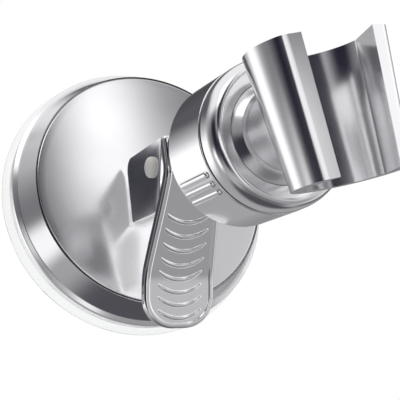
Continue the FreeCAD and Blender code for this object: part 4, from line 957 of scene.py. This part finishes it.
class HOLDER_OT_hidden_pieces(bpy.types.Operator):
    """Finishes for the pieces whose solids already have their real shape"""
    bl_idname = "holder.hidden_pieces"
    bl_label = "Stem, knuckle and fasteners"

    def execute(self, context):
        looks = {
            "cup_stem": "White moulding",
            "arm_fork": "Mirror plating",
            "arm_core": "Mirror plating",
            "fork_screw_left": "Bright steel",
            "fork_screw_right": "Bright steel",
            "tilt_bolt": "Bright steel",
            "tilt_nut": "Bright steel",
            "friction_washer_left": "Dark plastic",
            "friction_washer_right": "Dark plastic",
            "spring_washer": "Bright steel",
            "hub_ring": "Soft black ring",
            "hub_washer": "Bright steel",
            "hub_screw": "Bright steel",
        }
        for node, look in looks.items():
            solid = frame["nodes"][node]
            solid.data.materials.clear()
            solid.data.materials.append(finishes()[look])
        return {"FINISHED"}


# The studio's soft panels, seen from the part, in degrees: across from straight ahead of the wall, height
# over the horizon, half width, half height, softness of the edges, then the light level. Later ones lie
# over earlier ones.
STUDIO = (
    ("ground", 0, -77, 200, 16, 10, 0.16),
    ("ceiling", 0, 66, 200, 34, 8, 0.92),
    ("right wall", 80, -5, 32, 34, 12, 0.74),
    ("right edge", 120, -5, 10, 40, 6, 0.05),
    ("front", 42, -5, 18, 35, 12, 0.60),
    ("front low", 35, -44, 42, 17, 9, 0.33),
    ("left wall", -93, -4, 40, 27, 15, 0.17),
    ("left dark", -84, 5, 20, 23, 12, 0.0),
    ("left low", -56, -20, 22, 20, 8, 0.02),
    ("left strip", -12, -28, 7, 16, 4, 1.1),
    ("front left", -16, -4, 24, 8, 4, 1.05),
    ("back", 180, 0, 54, 42, 10, 0.38),
    ("ground behind", 180, -62, 52, 24, 9, 0.07),
    ("back top", -178, 36, 34, 8, 5, 0.09),
    ("back left", -150, 4, 13, 13, 9, 1.25),
    ("lower left", -117, -17, 8, 11, 5, 1.2),
    ("face dark", -15, 17, 29, 14, 4, 0.0),
    ("face light", 20, 24, 5, 9, 4, 1.5),
    ("face right", 33, 28, 8, 9, 5, 0.12),
)


class HOLDER_OT_stage(bpy.types.Operator):
    """Floor, soft light and the camera"""
    bl_idname = "holder.stage"
    bl_label = "Stage"

    def execute(self, context):
        scene = context.scene
        scene.view_settings.view_transform = "Standard"
        self.floor(scene.holder_finish.floor)
        self.world(scene)
        self.lamps()
        self.camera(scene)
        return {"FINISHED"}

    def floor(self, rgb):
        bpy.ops.object.select_all(action="DESELECT")
        bpy.ops.mesh.primitive_plane_add(size=6, location=(0, 0, -0.6))
        floor = bpy.context.object
        floor.name = "floor"
        pale = surface("Pale floor", rgb, smooth=0.5, worn=0.6, scale=3.0)
        nodes, links = pale.node_tree.nodes, pale.node_tree.links
        seen = nodes.new("ShaderNodeLightPath")
        clear = nodes.new("ShaderNodeBsdfTransparent")
        mix = nodes.new("ShaderNodeMixShader")
        links.new(seen.outputs["Is Glossy Ray"], mix.inputs["Fac"])
        links.new(nodes["Principled BSDF"].outputs["BSDF"], mix.inputs[1])
        links.new(clear.outputs["BSDF"], mix.inputs[2])
        links.new(mix.outputs[0], nodes["Material Output"].inputs["Surface"])
        floor.data.materials.append(pale)

    def soft_panel(self):
        """Group: lays one soft-edged panel, given by its direction and size in degrees, over a light level."""
        group, start, end = node_group(
            "Soft panel",
            [(label, "NodeSocketFloat", 0.0) for label in (
                "Below", "Azimuth", "Elevation", "Centre", "Height", "Half width", "Half height", "Soft", "Level")],
            [("Level", "NodeSocketFloat")])
        nodes, links = group.nodes, group.links

        def math_node(operation, first, second, third=None):
            node = nodes.new("ShaderNodeMath")
            node.operation = operation
            for socket, value in zip(node.inputs, (first, second, third)):
                if isinstance(value, (int, float)):
                    socket.default_value = value
                elif value is not None:
                    links.new(value, socket)
            return node.outputs[0]

        masks = []
        for angle, centre, half in (("Azimuth", "Centre", "Half width"), ("Elevation", "Height", "Half height")):
            apart = math_node("SUBTRACT", start.outputs[angle], start.outputs[centre])
            apart = math_node("ABSOLUTE", math_node("WRAP", apart, 180, -180), None)
            edge = nodes.new("ShaderNodeMapRange")
            edge.interpolation_type = "SMOOTHSTEP"
            links.new(apart, edge.inputs["Value"])
            links.new(math_node("SUBTRACT", start.outputs[half], start.outputs["Soft"]), edge.inputs["From Min"])
            links.new(math_node("ADD", start.outputs[half], start.outputs["Soft"]), edge.inputs["From Max"])
            edge.inputs["To Min"].default_value = 1
            edge.inputs["To Max"].default_value = 0
            masks.append(edge.outputs["Result"])
        change = math_node("SUBTRACT", start.outputs["Level"], start.outputs["Below"])
        share = math_node("MULTIPLY", masks[0], masks[1])
        links.new(math_node("MULTIPLY_ADD", change, share, start.outputs["Below"]), end.inputs["Level"])
        return group

    def world(self, scene):
        """A studio of soft panels round the part, and plain white where the camera looks."""
        world = bpy.data.worlds.new("Soft studio")
        scene.world = world
        world.use_nodes = True
        nodes, links = world.node_tree.nodes, world.node_tree.links
        nodes.clear()

        def math_node(operation, first, second):
            node = nodes.new("ShaderNodeMath")
            node.operation = operation
            for socket, value in zip(node.inputs, (first, second)):
                if isinstance(value, (int, float)):
                    socket.default_value = value
                else:
                    links.new(value, socket)
            return node.outputs[0]

        place = nodes.new("ShaderNodeTexCoord")
        parts = nodes.new("ShaderNodeSeparateXYZ")
        links.new(place.outputs["Generated"], parts.inputs[0])
        towards = math_node("MULTIPLY", parts.outputs["Y"], -1)
        azimuth = math_node("DEGREES", math_node("ARCTAN2", parts.outputs["X"], towards), 0)
        elevation = math_node("DEGREES", math_node("ARCSINE", parts.outputs["Z"], 0), 0)
        panel = self.soft_panel()
        level = 0.45
        for name, across, high, half_width, half_height, soft, light in STUDIO:
            node = nodes.new("ShaderNodeGroup")
            node.name = node.label = name
            node.node_tree = panel
            links.new(azimuth, node.inputs["Azimuth"])
            links.new(elevation, node.inputs["Elevation"])
            for label, value in (("Centre", across), ("Height", high), ("Half width", half_width),
                                 ("Half height", half_height), ("Soft", soft), ("Level", light)):
                node.inputs[label].default_value = value
            if isinstance(level, float):
                node.inputs["Below"].default_value = level
            else:
                links.new(level, node.inputs["Below"])
            level = node.outputs["Level"]
        tint = nodes.new("ShaderNodeVectorMath")
        tint.operation = "MULTIPLY_ADD"
        tint.inputs[1].default_value = (0.985, 0.985, 0.98)
        tint.inputs[2].default_value = (0.012, 0.011, 0.024)
        links.new(level, tint.inputs[0])
        room = nodes.new("ShaderNodeBackground")
        links.new(tint.outputs[0], room.inputs["Color"])
        white = nodes.new("ShaderNodeBackground")
        white.inputs["Color"].default_value = (1, 1, 1, 1)
        seen = nodes.new("ShaderNodeLightPath")
        clear = math_node("MAXIMUM", seen.outputs["Is Camera Ray"], seen.outputs["Is Transmission Ray"])
        mix = nodes.new("ShaderNodeMixShader")
        links.new(clear, mix.inputs["Fac"])
        links.new(room.outputs[0], mix.inputs[1])
        links.new(white.outputs[0], mix.inputs[2])
        out = nodes.new("ShaderNodeOutputWorld")
        links.new(mix.outputs[0], out.inputs["Surface"])

    def lamps(self):
        for name, place, size, power in (
                ("key", (-0.5, -0.6, 0.7), 0.5, 0.6),
                ("side", (0.7, -0.4, 0.1), 0.5, 0.3)):
            bpy.ops.object.light_add(type="AREA", location=place)
            lamp = bpy.context.object
            lamp.name = name
            lamp.data.size = size
            lamp.data.energy = power
            lamp.rotation_mode = "QUATERNION"
            lamp.rotation_quaternion = (Vector((0, -0.06, 0)) - Vector(place)).to_track_quat("-Z", "Y")

    def camera(self, scene):
        bpy.ops.object.camera_add(location=(-0.1362, -0.3260, -0.1107))
        camera = bpy.context.object
        camera.name = "camera"
        right = Vector((0.905, -0.407, -0.120)).normalized()
        ahead = Vector((0.424, 0.856, 0.296)).normalized()
        up = right.cross(ahead).normalized()
        right = ahead.cross(up).normalized()
        camera.matrix_world = Matrix.Translation(camera.location) @ Matrix((right, up, -ahead)).transposed().to_4x4()
        camera.data.lens = 99
        camera.data.sensor_width = 36
        scene.camera = camera


ORDER = (
    "suction_cup", "base_cover", "pivot_pin", "lever", "barrel_sleeve", "front_collar", "clip",
    "hidden_pieces", "stage",
)


class HOLDER_PT_panel(bpy.types.Panel):
    """Lists the holder's sizes, finishes and operators"""
    bl_label = "Hand shower holder"
    bl_idname = "HOLDER_PT_panel"
    bl_space_type = "VIEW_3D"
    bl_region_type = "UI"
    bl_category = "Holder"

    def draw(self, context):
        layout = self.layout
        for group in ("holder_base", "holder_lever", "holder_barrel", "holder_clip", "holder_finish"):
            box = layout.box()
            settings = getattr(context.scene, group)
            for name in settings.__annotations__:
                box.prop(settings, name)
        for name in ORDER:
            layout.operator("holder." + name)


GROUPS = {
    "holder_base": HolderBaseSizes,
    "holder_lever": HolderLeverSizes,
    "holder_barrel": HolderBarrelSizes,
    "holder_clip": HolderClipSizes,
    "holder_finish": HolderFinish,
}
CLASSES = (
    *GROUPS.values(), HOLDER_OT_suction_cup, HOLDER_OT_base_cover, HOLDER_OT_pivot_pin, HOLDER_OT_lever,
    HOLDER_OT_barrel_sleeve, HOLDER_OT_front_collar, HOLDER_OT_clip, HOLDER_OT_hidden_pieces, HOLDER_OT_stage,
    HOLDER_PT_panel,
)


def register():
    for item in CLASSES:
        bpy.utils.register_class(item)
    for name, group in GROUPS.items():
        setattr(bpy.types.Scene, name, PointerProperty(type=group))


def unregister():
    for name in GROUPS:
        delattr(bpy.types.Scene, name)
    for item in reversed(CLASSES):
        bpy.utils.unregister_class(item)


def main():
    register()
    for name in ORDER:
        getattr(bpy.ops.holder, name)()


if __name__ == "__main__":
    main()
